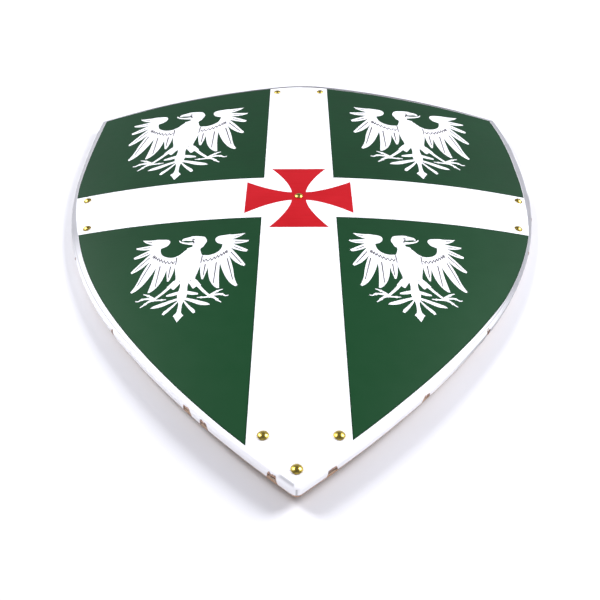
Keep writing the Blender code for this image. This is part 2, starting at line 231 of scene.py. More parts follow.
def off_board(x, y):
    """The reverse of on_pattern: where a point of the board lies on the painted cross."""
    x -= PATTERN_SHIFT
    across = x * cos(PATTERN_TURN) + y * sin(PATTERN_TURN)
    up = y * cos(PATTERN_TURN) - x * sin(PATTERN_TURN)
    return across, up


def smoothstep(share):
    share = min(1.0, max(0.0, share))
    return share * share * (3 - 2 * share)


# The outline: a rounded peak, a straight slope, a corner, two long arcs and the tip
UPPER_CENTRE = Vector((WIDTH / 2 - UPPER_SIDE_RADIUS, WIDEST_HEIGHT))
JOIN_NORMAL = Vector((cos(UPPER_SIDE_SWEEP), -sin(UPPER_SIDE_SWEEP)))
JOIN = UPPER_CENTRE + UPPER_SIDE_RADIUS * JOIN_NORMAL
TIP_CENTRE = Vector((0, TIP_RADIUS - TIP_LENGTH))
REACH = JOIN - TIP_CENTRE
LOWER_RADIUS = (REACH.length_squared - TIP_RADIUS ** 2) / (2 * (REACH.dot(JOIN_NORMAL) - TIP_RADIUS))
LOWER_CENTRE = JOIN - LOWER_RADIUS * JOIN_NORMAL
PEAK_CENTRE = Vector((0, TOP_HEIGHT - PEAK_RADIUS))
SLOPE_NORMAL = Vector((sin(TOP_SLOPE), cos(TOP_SLOPE)))
SLOPE_ALONG = Vector((cos(TOP_SLOPE), -sin(TOP_SLOPE)))
SHOULDER_NORMAL = Vector((cos(LEFT_SHOULDER_TURN), -sin(LEFT_SHOULDER_TURN)))
SHOULDER_CENTRE = UPPER_CENTRE + (UPPER_SIDE_RADIUS - LEFT_SHOULDER_RADIUS) * SHOULDER_NORMAL


def arc(centre, radius, start, end):
    """Length of an arc and a function for the point and normal at a share of it."""
    def at(share):
        angle = start + (end - start) * share
        normal = Vector((cos(angle), sin(angle)))
        return centre + radius * normal, normal
    return abs(end - start) * radius, at


def half_path(side):
    """One half of the outline from peak to tip, laid out to the right: arcs and a straight slope.

    The left side is straighter above its shoulder.
    """
    side_centre, side_radius, side_end = UPPER_CENTRE, UPPER_SIDE_RADIUS, -UPPER_SIDE_SWEEP
    if side == LEFT:
        side_centre, side_radius, side_end = SHOULDER_CENTRE, LEFT_SHOULDER_RADIUS, -LEFT_SHOULDER_TURN
    slope_start = PEAK_CENTRE + PEAK_RADIUS * SLOPE_NORMAL
    inner_start = slope_start - CORNER_RADIUS * SLOPE_NORMAL
    offset = inner_start - side_centre
    middle = offset.dot(SLOPE_ALONG)
    reach = side_radius - CORNER_RADIUS
    length = sqrt(middle ** 2 - offset.length_squared + reach ** 2) - middle
    slope_end = slope_start + length * SLOPE_ALONG
    corner_centre = inner_start + length * SLOPE_ALONG
    to_corner, to_tip = corner_centre - side_centre, TIP_CENTRE - LOWER_CENTRE
    corner_angle, tip_angle = atan2(to_corner.y, to_corner.x), atan2(to_tip.y, to_tip.x)
    slope_angle = pi / 2 - TOP_SLOPE
    path = [
        arc(PEAK_CENTRE, PEAK_RADIUS, pi / 2, slope_angle),
        (length, lambda share: (slope_start.lerp(slope_end, share), SLOPE_NORMAL)),
        arc(corner_centre, CORNER_RADIUS, slope_angle, corner_angle),
        arc(side_centre, side_radius, corner_angle, side_end),
        arc(LOWER_CENTRE, LOWER_RADIUS, -UPPER_SIDE_SWEEP, tip_angle),
        arc(TIP_CENTRE, TIP_RADIUS, tip_angle, -pi / 2),
    ]
    if side == LEFT:
        path.insert(4, arc(UPPER_CENTRE, UPPER_SIDE_RADIUS, side_end, -UPPER_SIDE_SWEEP))
    return path


def on_path(path, position):
    """Point and normal at a distance along a half outline."""
    for length, at in path:
        if position <= length:
            return at(position / length)
        position -= length
    return path[-1][1](1.0)


EDGE_PATH = {side: half_path(side) for side in (LEFT, RIGHT)}
HALF_LENGTH = {side: sum(length for length, at in EDGE_PATH[side]) for side in (LEFT, RIGHT)}


def edge_position(side, height):
    """Distance along a half outline at which its side passes a height."""
    low, high = sum(length for length, at in EDGE_PATH[side][:3]), HALF_LENGTH[side]
    for halving in range(40):
        middle = (low + high) / 2
        if on_path(EDGE_PATH[side], middle)[0].y > height:
            low = middle
        else:
            high = middle
    return low


def half_width(side, height):
    return on_path(EDGE_PATH[side], edge_position(side, height))[0].x


def edge_distances(x, y):
    """How far a point of the flat face lies inside the outline's side and inside its top."""
    point = Vector((abs(x), y))
    from_upper = point - UPPER_CENTRE
    turn = atan2(from_upper.y, from_upper.x)
    if x < 0 and turn > -LEFT_SHOULDER_TURN:
        side = LEFT_SHOULDER_RADIUS - (point - SHOULDER_CENTRE).length
    elif turn > -UPPER_SIDE_SWEEP:
        side = UPPER_SIDE_RADIUS - from_upper.length
    else:
        side = LOWER_RADIUS - (point - LOWER_CENTRE).length
    from_peak = point - PEAK_CENTRE
    if from_peak.y > 0 and from_peak.x < from_peak.y * tan(TOP_SLOPE):
        top = PEAK_RADIUS - from_peak.length
    else:
        top = PEAK_RADIUS - from_peak.dot(SLOPE_NORMAL)
    return side, top


def edge_distance(x, y):
    return min(edge_distances(x, y))


def side_margin(side, y):
    """Width of the unpainted margin along a side, which the painter left a little uneven."""
    places = SIDE_MARGINS[side]
    for (low, start), (high, end) in zip(places, places[1:]):
        if y < high:
            return start + (end - start) * min(1.0, max(0.0, (y - low) / (high - low)))
    return places[-1][1]


def margins_at(x, y):
    """Distances of a point inside the outline's side and top, and the unpainted margins there."""
    half = LEFT if x < 0 else RIGHT
    return *edge_distances(x, y), side_margin(half, y), TOP_MARGIN[half]


def margin_share(x, y):
    """Distance from the outline as a share of the unpainted margin: 1 where the paint may begin."""
    side, top, side_edge, top_edge = margins_at(x, y)
    return min(side / side_edge, top / top_edge)


def edge_positions(side):
    """Stations along one half of the outline, close together where the cover has small features."""
    fine = [(HALF_LENGTH[side] - FINE_AT_TIP[side], HALF_LENGTH[side])]
    for (where, rise, width, reach), middle in zip(NOTCHES, NOTCH_MIDDLES):
        if where == side:
            fine.append((middle - width / 2 - FINE_BESIDE_NOTCH, middle + width / 2 + FINE_BESIDE_NOTCH))
    stations = [0.0]
    start = 0.0
    for length, at in EDGE_PATH[side]:
        end = start + length
        marks = sorted({start, end} | {mark for ends in fine for mark in ends if start < mark < end})
        for first, last in zip(marks, marks[1:]):
            middle = (first + last) / 2
            step = SMALL_ARC_STEP if length < SMALL_ARC else OUTLINE_STEP
            if any(low < middle < high for low, high in fine):
                step = FINE_STEP
            count = max(1, round((last - first) / step))
            stations += [first + (last - first) * (index + 1) / count for index in range(count)]
        start = end
    return stations


def edge_stations():
    """The whole outline, clockwise from the peak: side, position, point and outward normal."""
    stations = []
    for side, positions in ((RIGHT, edge_positions(RIGHT)), (LEFT, edge_positions(LEFT)[-2:0:-1])):
        for position in positions:
            pair = [Vector((side * flat.x, flat.y)) for flat in on_path(EDGE_PATH[side], position)]
            stations.append((side, position, *pair))
    return stations


NOTCH_MIDDLES = [edge_position(side, rise - TIP_LENGTH) for side, rise, width, reach in NOTCHES]
STATIONS = edge_stations()


def wobble(x, y, scale, seed):
    """A smooth random value from -1 to 1 that is the same in every run."""
    return noise.noise(Vector((x * scale, y * scale, seed)))


def lip_run(side, position, point):
    """Run of the cover to its lip, which is a little uneven, and how much is torn from it there."""
    run = LIP_RUN
    for size, scale, seed in LIP_WAVES:
        run += size * wobble(*point, scale, seed)
    torn = 0.0
    for (where, rise, width, reach), middle in zip(NOTCHES, NOTCH_MIDDLES):
        if where == side:
            ragged = RAGGED_WIDTH * wobble(*point, 900, rise * 50)
            share = abs(position - middle) / (width / 2) + ragged
            bite = 1 - smoothstep((share - BITE_START) / BITE_BLEND)
            run -= reach * bite * (1 - RAGGED_REACH * (1 + wobble(*point, 650, rise * 90)))
            torn = max(torn, bite)
    return run, torn


def edge_profile(run):
    """Inset and depth of the cover's outer surface at a distance from the face round its edge."""
    turn = min(run / EDGE_ROUND, pi / 2)
    below = max(0.0, run - ROUND_RUN)
    return EDGE_ROUND * (1 - sin(turn)), EDGE_ROUND * (1 - cos(turn)) + below


def turning(shape):
    """Area of a closed flat shape, positive where it runs anticlockwise."""
    pairs = zip(shape, shape[1:] + shape[:1])
    return sum(here[0] * after[1] - after[0] * here[1] for here, after in pairs) / 2


def on_one_line(corners):
    """Whether three flat corners lie on a straight line, as they do along the top's slopes."""
    longest = max((corners[index] - corners[index - 1]).length_squared for index in range(3))
    return abs(turning(corners)) < 1e-5 * longest


def ring_faces(first, second):
    """Faces between two closed rings of points."""
    return zip(first, second, second[1:] + second[:1], first[1:] + first[:1])


def quarter_round(radius, steps):
    """Distances from both sides of a corner along a quarter round, from its middle one outward."""
    turns = [pi / 2 * step / steps for step in range(steps + 1)]
    return [(radius * (1 - sin(turn)), radius * (1 - cos(turn))) for turn in turns]


def bake_place(point, areas, strips, key):
    """Where a point lies in the baked image: its own area, or one of eight strips for the edge."""
    x, y, depth = point
    if key in areas:
        left, bottom, scale = areas[key]
        return left + x * scale, bottom + y * scale
    turn = (atan2(y - STRIPS_CENTRE, x) / (2 * pi)) % 1.0 * STRIP_COUNT
    left, bottom, width, height, deep = strips
    return left + width * (turn - int(turn)), bottom + int(turn) * height + depth * deep


def all_over(finish):
    """A label for a face that has one finish."""
    return lambda x, y, within: finish


def linked(name, data):
    """A new object of the scene for a mesh, a light or a camera."""
    item = bpy.data.objects.new(name, data)
    bpy.context.scene.collection.objects.link(item)
    return item


def stand_for(item, node):
    """Ties a visible piece to the solid that it replaces."""
    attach(item, 'root')
    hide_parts(node)


class Shell:
    """Faces on points of the flat layout, gathered into one piece."""

    def __init__(self):
        self.points, self.normals, self.marks, self.faces = [], [], [], []
        self.found = {}

    def point(self, x, y, depth, normal=None, marks=(0.0, 0.0)):
        """Index of a point, which is made once for each place. Its marks are the painted shade of a crease
        and seam, and a darker strip at the lip, which on the board also holds the painted shadow in a
        notch.
        """
        key = (round(x * 1e6), round(y * 1e6), round(depth * 1e6))
        if key not in self.found:
            self.found[key] = len(self.points)
            self.points.append((x, y, depth))
            self.normals.append(normal)
            self.marks.append(marks)
        elif normal is not None:
            self.normals[self.found[key]] = normal
        return self.found[key]

    def face(self, corners, finish, island, smooth=True):
        if len(set(corners)) > 2:
            self.faces.append((tuple(dict.fromkeys(corners)), finish, island, smooth))

    def bands(self, rings, finish, island, smooth=True):
        """Faces between closed rings of points, each deeper than the one before."""
        for first, second in zip(rings, rings[1:]):
            for here, below, after_below, after in ring_faces(first, second):
                self.face((here, after, after_below, below), finish, island, smooth)

    def edge(self, rows_at, finish):
        """A surface round the whole edge: its rings, and the flat places and marks at each station."""
        rows, marks = [], []
        for side, position, point, normal in STATIONS:
            profile = rows_at(side, position, point)
            rows.append([(*(point - inset * normal), depth) for inset, depth, mark in profile])
            marks.append([mark for inset, depth, mark in profile])
        stations = list(zip(rows, grid_normals(rows), marks))
        rings = []
        for step in range(len(rows[0])):
            rings.append([self.point(*row[step], out[step], mark[step]) for row, out, mark in stations])
        self.bands(rings, finish, 'side')
        return rings, rows, marks

    def fill(self, rim, depth, out, lines, shapes, label, island):
        """Triangles inside a rim of points, with an edge kept along every line and shape."""
        flat = [self.points[index][:2] for index in rim]
        edges, faces = [], [list(range(len(rim)))]
        for line in lines:
            start = len(flat)
            flat += line
            edges += [(start + index, start + index + 1) for index in range(len(line) - 1)]
        for finish, shape in shapes:
            start = len(flat)
            flat += shape if turning(shape) > 0 else shape[::-1]
            faces.append(list(range(start, len(flat))))
        result = delaunay_2d_cdt([Vector(point) for point in flat], edges, faces, 1, 1e-7, True)
        places, triangles, origins, sources = result[0], result[2], result[3], result[5]
        corners = []
        for place, origin in zip(places, origins):
            x, y = flat[min(origin)] if origin else place
            corners.append(self.point(x, y, depth, facing(x, 0, 0, out)))
        on_rim = [bool(origin) and min(origin) < len(rim) for origin in origins]
        for triangle, source in zip(triangles, sources):
            flat_corners = [places[corner] for corner in triangle]
            if all(on_rim[corner] for corner in triangle) and on_one_line(flat_corners):
                continue
            middle = sum(flat_corners, Vector((0, 0))) / len(triangle)
            finish = label(*middle, {shapes[number - 1][0] for number in source if number})
            indices = [corners[corner] for corner in triangle]
            self.face(indices if out > 0 else indices[::-1], finish, island)

    def piece(self, name, finishes, areas, strips):
        """The finished mesh piece, with normals of the true surface and flat coordinates."""
        mesh = bpy.data.meshes.new(name)
        mesh.from_pydata([placed(*point) for point in self.points], [], [face[0] for face in self.faces])
        slots = list(finishes)
        for finish in slots:
            mesh.materials.append(finishes[finish])
        mesh.shade_smooth()
        names = ('flat', 'near', 'marks')
        for attribute_name in names:
            mesh.attributes.new(attribute_name, 'FLOAT_VECTOR', 'POINT')
        flat, near, marks = [mesh.attributes[attribute_name].data for attribute_name in names]
        for index, (x, y, depth) in enumerate(self.points):
            flat[index].vector = (x, y, depth)
            near[index].vector = (field_distance(x, y), edge_distance(x, y), margin_share(x, y))
            marks[index].vector = (*self.marks[index], 0.0)
        bake = mesh.uv_layers.new(name='OFBake')
        loop_normals = []
        for polygon, (corners, finish, island, smooth) in zip(mesh.polygons, self.faces):
            polygon.material_index = slots.index(finish)
            for loop, corner in zip(polygon.loop_indices, corners):
                bake.data[loop].uv = bake_place(self.points[corner], areas, strips, (island, finish))
                normal = self.normals[corner] if smooth else None
                loop_normals.append(normal or polygon.normal)
        mesh.normals_split_custom_set(loop_normals)
        return linked(name, mesh)


def field_distance(x, y):
    """Distance of a point inside its green field, negative outside."""
    across, up = off_board(x, y)
    side, top, side_edge, top_edge = margins_at(x, y)
    return min(side - side_edge, top - top_edge, abs(across) - BAND_HALF, abs(up) - BAND_HALF)


# Painted figures, in millimetres: u outward from the shield's middle, v up
WING_ARM = (
    (13.5, 32.5), (20, 33), (26, 35), (31, 39.5), (33.3, 45), (34, 51), (32, 52.3), (28, 54.7),
    (25.6, 59), (25.5, 63.3), (28, 66.3), (32.5, 67.6), (43, 68.4), (44.5, 60.2), (45.3, 51.5),
    (44.2, 43.8), (42.3, 31), (34, 18.5), (22, 12.5), (13.5, 19),
)
WING_FEATHERS = (
    ((43, 68.4), ((51, 68.8), (57.5, 70.2)), ((54.5, 65.5), (51, 63.5)), ((47, 60.8), (44.5, 60.2)),
     (40, 62)),
    ((44, 59.5), ((54, 57.5), (62.5, 56.8)), (62, 54.8), ((56, 50.8), (45.3, 51.5)), (40, 54)),
    ((45.3, 51.3), ((54, 45.5), (62.3, 39.5)), (61, 36.5), ((55, 36.5), (44.2, 43.8)), (40, 46)),
    ((44.2, 43), ((52, 31), (61, 14)), (59.5, 11.7), ((50, 16), (42.3, 31)), (39, 36)),
    ((42.3, 31), ((48.5, 12), (50, -2)), ((51.5, -11), (55, -19)), (53.5, -20.8), ((43, -16), (34, 18)),
     (36, 24)),
    ((34, 18), ((34, 0), (36, -17)), (36.5, -22.5), (34.5, -22.5), ((24, -15), (22, 12.5)), (26, 20)),
    ((22, 12.5), ((20.5, 2), (18.7, -7)), (17.2, -7), ((14, 2), (13.5, 19)), (17, 20)),
)
BODY_SIDE = ((14, 33), (13.8, 20), (12.2, 8), (10.3, -2), (10.5, -7))
NECK_AND_HEAD = (
    (14, 33), (11, 37), (6.5, 43.5), (4.5, 46), (4, 48), (-1.2, 50.5), (0, 55), (-1, 58.5), (0, 63),
    (3, 68.5), (0, 69.7), (-6, 69), (-12.5, 67), (-15, 63), (-16, 58), (-14, 52), (-13, 49),
    (-10.5, 46), (-11, 41), (-13, 34.5), (-14, 33),
)
UPPER_BEAK = (
    (0, 68.8), (3, 68.6), (7, 67.6), (10.5, 66.2), (12, 63.6), (11.3, 61.8), (8.5, 62.6), (4, 61.6),
    (-1, 61.5),
)
LOWER_BEAK = (
    (-1, 58), (5, 58.2), (9.5, 59.6), (13, 61.3), (14.9, 63.9), (14.9, 61.6), (13, 59), (9.5, 56.9),
    (3, 54.4), (-1, 54),
)
THIGH = ((10.5, -6), (16, -13.5), (17.5, -16), (16.3, -18), (13, -18), (10, -20.8), (6.5, -15), (4.5, -10))
TAIL_TRUNK = (
    (6, -7), (4.7, -10), (3.8, -17), (4.6, -25), (5, -30), (4, -36), (2.6, -40), (1.8, -45), (1.9, -52),
    (2.6, -57), (5, -60.5), (3.8, -62.5), (0, -70),
)
TAIL_FEATHERS = (
    ((3, -23), (4, -24), ((11, -26), (16, -28.7)), (16.3, -30.6), ((9.5, -31.5), (4.2, -28.5)), (2, -28)),
    ((3, -34), ((14, -38), (27, -44)), (29.8, -47), ((22, -48.5), (14, -43.5)), ((8, -39.5), (3, -37.5))),
    ((2.5, -37), ((8, -46), (15, -53)), (16.5, -57), (14.5, -58.5), ((6, -48), (2, -38.5))),
)
# Strokes: a row of points, then the half widths at its start and end
LEG_STROKES = (
    (((15, -17), (21, -25.5), (28, -33.8)), 1.8, 1.3),
    (((28, -34), (31.5, -30), (36, -26.5), (40.5, -24.4)), 1.7, 0.5),
    (((28, -34), (33, -32.3), (40, -32), (44, -34.6), (47, -34)), 1.7, 0.5),
    (((28, -34), (33.5, -37), (37, -41), (40.5, -44.3)), 1.7, 0.5),
    (((29, -34), (27, -35), (21, -35.5), (15.5, -35.2)), 1.6, 0.5),
)
KNUCKLES = (
    ((28.5, -34.2), 2.5), ((35, -27.4), 1.7), ((40.3, -32.3), 1.7), ((36, -39.8), 1.7), ((20, -35.4), 1.5),
)
QUILLS = (
    ((47, 55.5), (57, 54.5)), ((47, 46), (56, 40)), ((44, 37), (57, 16)), ((41, 26), (49.5, -10)),
    ((30, 20), (30, -14)), ((18.5, 18), (18.3, -1)), ((46, 65), (52, 66.5)), ((13.8, 33), (13.4, 20)),
)
BROW = ((0.6, 64.6), (-1, 63.6), (-2.6, 63.8))
CERE = ((0.2, 62.4), (-1.4, 59.5), (-2, 56))
COVERT_ROW = ((16, 24), (24, 25.5), (31, 30), (37, 35), (40, 38))
INK_HALF = 0.64
EAGLES = (((117, -143), 1.0), ((156.5, 146.3), 1.337))

# The red cross, in millimetres
CROSS_END = 63
CROSS_END_HALF = 33.6
CROSS_THROAT = 8.5
CROSS_FLARE = 1.55


def curved(points, closed=True):
    """A smooth line through points."""
    count = len(points)
    drawn = []
    for index in range(count if closed else count - 1):
        near = [index + offset for offset in (-1, 0, 1, 2)]
        near = [place % count if closed else min(max(place, 0), count - 1) for place in near]
        four = [Vector(points[place]) for place in near]
        for step in range(CURVE_STEPS):
            t = step / CURVE_STEPS
            drawn.append(0.5 * (2 * four[1] + (four[2] - four[0]) * t
                                + (2 * four[0] - 5 * four[1] + 4 * four[2] - four[3]) * t ** 2
                                + (3 * four[1] - four[0] - 3 * four[2] + four[3]) * t ** 3))
    if not closed:
        drawn.append(Vector(points[-1]))
    return drawn


def bent(outline):
    """An outline with points and, where a pair stands, a bend round the first point to the second."""
    drawn = []
    for entry in outline:
        if isinstance(entry[0], tuple):
            start, control, end = drawn[-1], Vector(entry[0]), Vector(entry[1])
            for step in range(1, BEND_STEPS + 1):
                t = step / BEND_STEPS
                drawn.append(start * (1 - t) ** 2 + control * 2 * t * (1 - t) + end * t ** 2)
        else:
            drawn.append(Vector(entry))
    return drawn


def stroke(points, start_half, end_half):
    """A tapering stroke along a smooth line."""
    line = curved(points, closed=False)
    last = len(line) - 1
    left, right = [], []
    for index, point in enumerate(line):
        along = (line[min(index + 1, last)] - line[max(index - 1, 0)]).normalized()
        side = Vector((-along.y, along.x))
        half = start_half + (end_half - start_half) * index / last
        left.append(point + side * half)
        right.append(point - side * half)
    return left + right[::-1]


def round_spot(centre, radius, sides=14):
    turns = [2 * pi * index / sides for index in range(sides)]
    return [Vector(centre) + radius * Vector((cos(turn), sin(turn))) for turn in turns]


def mirrored(points):
    return [Vector((-point[0], point[1])) for point in points]


def eagle_shapes():
    """One displayed eagle: its white shapes and its thin drawn lines, symmetric but for the head."""
    white = [curved(WING_ARM), curved(THIGH)]
    white += [bent(outline) for outline in WING_FEATHERS + TAIL_FEATHERS]
    white += [stroke(*entry) for entry in LEG_STROKES]
    white += [round_spot(*entry) for entry in KNUCKLES]
    white += [mirrored(shape) for shape in white]
    side = curved(BODY_SIDE, closed=False)
    trunk = curved(TAIL_TRUNK, closed=False)
    white += [side + mirrored(side[::-1]), trunk + mirrored(trunk[-2::-1])]
    white += [curved(NECK_AND_HEAD), curved(UPPER_BEAK), curved(LOWER_BEAK)]

    ink = [stroke(line, INK_HALF, INK_HALF * 0.7) for line in QUILLS]
    for index, point in enumerate(curved(COVERT_ROW, closed=False)):
        tilt = Vector((0.8, 2.1)) if index % 2 else Vector((1.0, -2.3))
        ink.append(stroke((point - tilt, point + tilt), INK_HALF * 0.9, INK_HALF * 0.7))
    ink += [mirrored(shape) for shape in ink]
    ink += [stroke(CERE, INK_HALF, INK_HALF), stroke(BROW, INK_HALF * 1.8, INK_HALF)]
    return white, ink


def cross_shape():
    """A cross with four straight-ended arms that flare in hollow curves."""
    arm = []
    for step in range(13):
        share = step / 12
        along = CROSS_THROAT + (CROSS_END - CROSS_THROAT) * share
        arm.append((along, CROSS_THROAT + (CROSS_END_HALF - CROSS_THROAT) * share ** CROSS_FLARE))
    half = [(along, -width) for along, width in arm] + arm[:0:-1]
    shape = []
    for quarter in range(4):
        c, s = cos(quarter * pi / 2), sin(quarter * pi / 2)
        shape += [Vector((along * c - width * s, along * s + width * c)) for along, width in half]
    return shape


def on_board(drawing):
    """A figure that is drawn in millimetres on the painted cross, as it lies on the board."""
    return [on_pattern(u * 0.001, v * 0.001) for u, v in drawing]


def painted_shapes():
    """Finish and board outline of every figure painted on the face."""
    shapes = []
    white, ink = eagle_shapes()
    for (across, up), scale in EAGLES:
        for side in (LEFT, RIGHT):
            for finish, drawings in (('white_paint', white), ('ink', ink)):
                for drawing in drawings:
                    places = [(side * (across + scale * u), up + scale * v) for u, v in drawing]
                    shapes.append((finish, on_board(places)))
    shapes.append(('red_paint', on_board(cross_shape())))
    return shapes


def margin_lines(side, rim):
    """Outer lines of one side's painted fields, moved inward by the width of a rim."""
    lines = [[], []]
    corner_start = sum(length for length, at in EDGE_PATH[side][:2])
    corner_end = corner_start + EDGE_PATH[side][2][0]
    for index in range(int(HALF_LENGTH[side] / OUTLINE_STEP)):
        position = index * OUTLINE_STEP
        if corner_start < position < corner_end:
            continue
        point, normal = on_path(EDGE_PATH[side], position)
        on_side = position >= corner_end
        margin = TOP_MARGIN[side]
        for repeat in range(5 if on_side else 0):
            margin = side_margin(side, (point - (margin + rim) * normal).y)
        place = point - (margin + rim) * normal
        x, y = side * place.x, place.y
        if field_distance(x, y) > rim - LINE_OVERRUN:
            lines[on_side].append((x, y))
    return lines


def band_line(offset, upright):
    """One line of a painted band, which ends in the unpainted margin, inside the face's rim."""
    def at(along):
        return on_pattern(offset, along) if upright else on_pattern(along, offset)

    def inside(along):
        place = at(along)
        on_face = edge_distance(*place) > FRONT_INSET + RIM_CLEARANCE
        return on_face and margin_share(*place) > BAND_LINE_SHARE
    steps = [index * BAND_LINE_STEP for index in range(-200, 201)]
    places = [along for along in steps if inside(along)]
    for end, reach in ((0, -BAND_LINE_STEP), (-1, BAND_LINE_STEP)):
        for halving in range(8):
            reach /= 2
            if inside(places[end] + reach):
                places[end] += reach
    return [at(along) for along in places]


def field_lines():
    """Lines of the painted fields: their outer edges, the bands, and a narrow rim inside each."""
    lines = []
    for side in (LEFT, RIGHT):
        for rim in (0.0, FIELD_RIM):
            top, long_side = margin_lines(side, rim)
            upper = [point for point in long_side if point[1] > 0]
            lower = [point for point in long_side if point[1] < 0]
            lines += [line for line in (top, upper, lower) if len(line) > 1]
    for half in (BAND_HALF, BAND_HALF + FIELD_RIM):
        for side in (LEFT, RIGHT):
            lines += [band_line(side * half, upright) for upright in (False, True)]
    return lines


def spread_points(across, up, inset):
    """Single points spread over the face, so that its triangles follow the curve."""
    lines = []
    columns = int(WIDTH / 2 / across)
    for column in range(-columns, columns + 1):
        for row in range(-int(TIP_LENGTH / up), int(TOP_HEIGHT / up) + 1):
            x, y = column * across, (row + 0.5 * (column % 2)) * up
            if edge_distance(x, y) > inset:
                lines.append([(x, y)])
    return lines


def paint_at(x, y, within):
    """Finish of the cover at a point of the face."""
    for finish in ('red_paint', 'ink'):
        if finish in within:
            return finish
    white = 'white_paint' in within or field_distance(x, y) < 0
    return 'white_cover' if white else 'green_paint'


def cover_rows(side, position, point):
    """Inset, depth and marks of the cover's outer surface at one station, from the face to the lip. Its
    marks are the painted shade of the fold's crease and of the seam, and the darker strip along the lip.
    """
    end, torn = lip_run(side, position, point)
    from_tip = HALF_LENGTH[side] - position
    seam = 1 - smoothstep((from_tip - SEAM_HALF) / SEAM_BLEND)
    fold = 0.0
    if side == LEFT:
        fold = smoothstep((from_tip - FOLD_START) / FOLD_START_BLEND)
        fold *= 1 - smoothstep((from_tip - FOLD_END) / FOLD_END_BLEND)
    rows = [(FRONT_INSET, 0.0, (0.0, 0.0))]
    for run in COVER_RUNS:
        share = run / LIP_RUN
        inset, depth = edge_profile(share * end)
        turn = min(share * end / EDGE_ROUND, pi / 2)
        pressed = FOLD_PRESS * fold * sin(2 * turn) ** 2
        inset += pressed * sin(turn)
        depth += pressed * cos(turn)
        low = smoothstep((share - LIP_SHARE) / (1 - LIP_SHARE))
        inset += LIP_TUCK * low * (1 - torn) - TEAR_LIFT * torn * low
        # Painted shade along the fold's crease and in the seam, which the finish darkens.
        crease = fold * smoothstep(1 - abs(run - CREASE_SHADE_RUN) / CREASE_SHADE_HALF)
        if SEAM_RUNS[0] < run < SEAM_RUNS[1]:
            crease = max(crease, seam)
            inset += SEAM_DENT * seam
        # A darker strip along the lip, which the finish colours brown.
        lip = 1 - smoothstep(((1 - share) * end - LIP_STRIP_REACH) / LIP_STRIP_BLEND)
        rows.append((inset, depth, (crease, lip)))
    return rows


def grid_normals(rows):
    """Normals of a closed grid of flat points, from its neighbours, in the shield's own place."""
    grid = [[placed(*point) for point in row] for row in rows]
    last = len(grid[0]) - 1
    normals = []
    for index, row in enumerate(grid):
        before, after = grid[index - 1], grid[(index + 1) % len(grid)]
        line = []
        for step in range(last + 1):
            down = row[min(step + 1, last)] - row[max(step - 1, 0)]
            line.append((after[step] - before[step]).cross(down).normalized())
        normals.append(line)
    return normals


def make_cover(finishes):
    """The painted cover: its face, rounded edge, side, lip and inner skin as one closed shell."""
    shell = Shell()
    rings, rows, marks = shell.edge(cover_rows, 'white_cover')
    inner = []
    for inset, fixed in INNER_ROWS:
        ring = []
        for (side, position, point, normal), row, mark in zip(STATIONS, rows, marks):
            lip = row[-1][2] - 0.0002 * len(inner)
            depth = max(COVER_THICKNESS, min(fixed, lip))
            place = point - inset * normal
            ring.append(shell.point(*place, depth, None, (0.0, 0.0) if inner else mark[-1]))
        inner.append(ring)
    shell.bands([rings[-1], inner[0]], 'white_cover', 'side', smooth=False)
    shell.bands(inner, 'white_cover', 'inside', smooth=False)
    lines = field_lines() + spread_points(*FRONT_SPREAD)
    shell.fill(rings[0], 0.0, 1, lines, painted_shapes(), paint_at, 'front')
    plain = spread_points(*HIDDEN_SPREAD)
    shell.fill(inner[-1], COVER_THICKNESS, -1, plain, [], all_over('white_cover'), 'inside')
    return shell.piece('painted_front', finishes, COVER_BAKE, COVER_STRIPS)


def board_profile():
    """Inset and depth of the board's edge: round in front, then straight, with a broken back arris."""
    wall = BACK_DEPTH - BACK_ARRIS - EDGE_ROUND
    rounding = quarter_round(EDGE_ROUND - BOARD_DEPTH, 4)[1:]
    profile = [(FRONT_INSET, BOARD_DEPTH)]
    profile += [(BOARD_DEPTH + inset, BOARD_DEPTH + depth) for inset, depth in rounding]
    profile += [(BOARD_DEPTH, EDGE_ROUND + wall * step / 10) for step in range(1, 11)]
    profile += [(BOARD_DEPTH + BACK_ARRIS * share, BACK_DEPTH - BACK_ARRIS * rest)
                for share, rest in ((0.3, 0.3), (1, 0))]
    return profile


def board_rows(side, position, point):
    """Inset, depth and marks of the board's edge at one station: painted shadow, with some old glue, under
    the torn cover in a notch, and a darker strip below the lip.
    """
    end, torn = lip_run(side, position, point)
    rows = []
    for inset, depth in board_profile():
        uncovered = depth - edge_profile(end)[1]
        # Painted shadow, with some old glue, on the wood just under the cover's torn edge in a notch.
        dark = 1 - smoothstep((uncovered - NOTCH_SHADE_REACH) / NOTCH_SHADE_FADE)
        dark *= smoothstep((torn - NOTCH_SHADE_START) / NOTCH_SHADE_BLEND)
        # A darker strip on the wood below the lip.
        dark = max(dark, LIP_STRIP_DARK * smoothstep((depth - COVER_DEPTH + LIP_STRIP_REACH) / LIP_STRIP_BLEND))
        rows.append((inset, depth, (0.0, dark)))
    return rows


def make_board(finishes):
    """The plywood board: a finely stepped edge, a slightly broken back arris and a smooth back."""
    shell = Shell()
    rings, rows, marks = shell.edge(board_rows, 'plywood_edge')
    front, back = spread_points(*HIDDEN_SPREAD), spread_points(*BACK_SPREAD)
    shell.fill(rings[0], BOARD_DEPTH, 1, front, [], all_over('plywood_edge'), 'front')
    shell.fill(rings[-1], BACK_DEPTH, -1, back, [], all_over('plywood_back'), 'back')
    return shell.piece('board', finishes, BOARD_BAKE, BOARD_STRIPS)


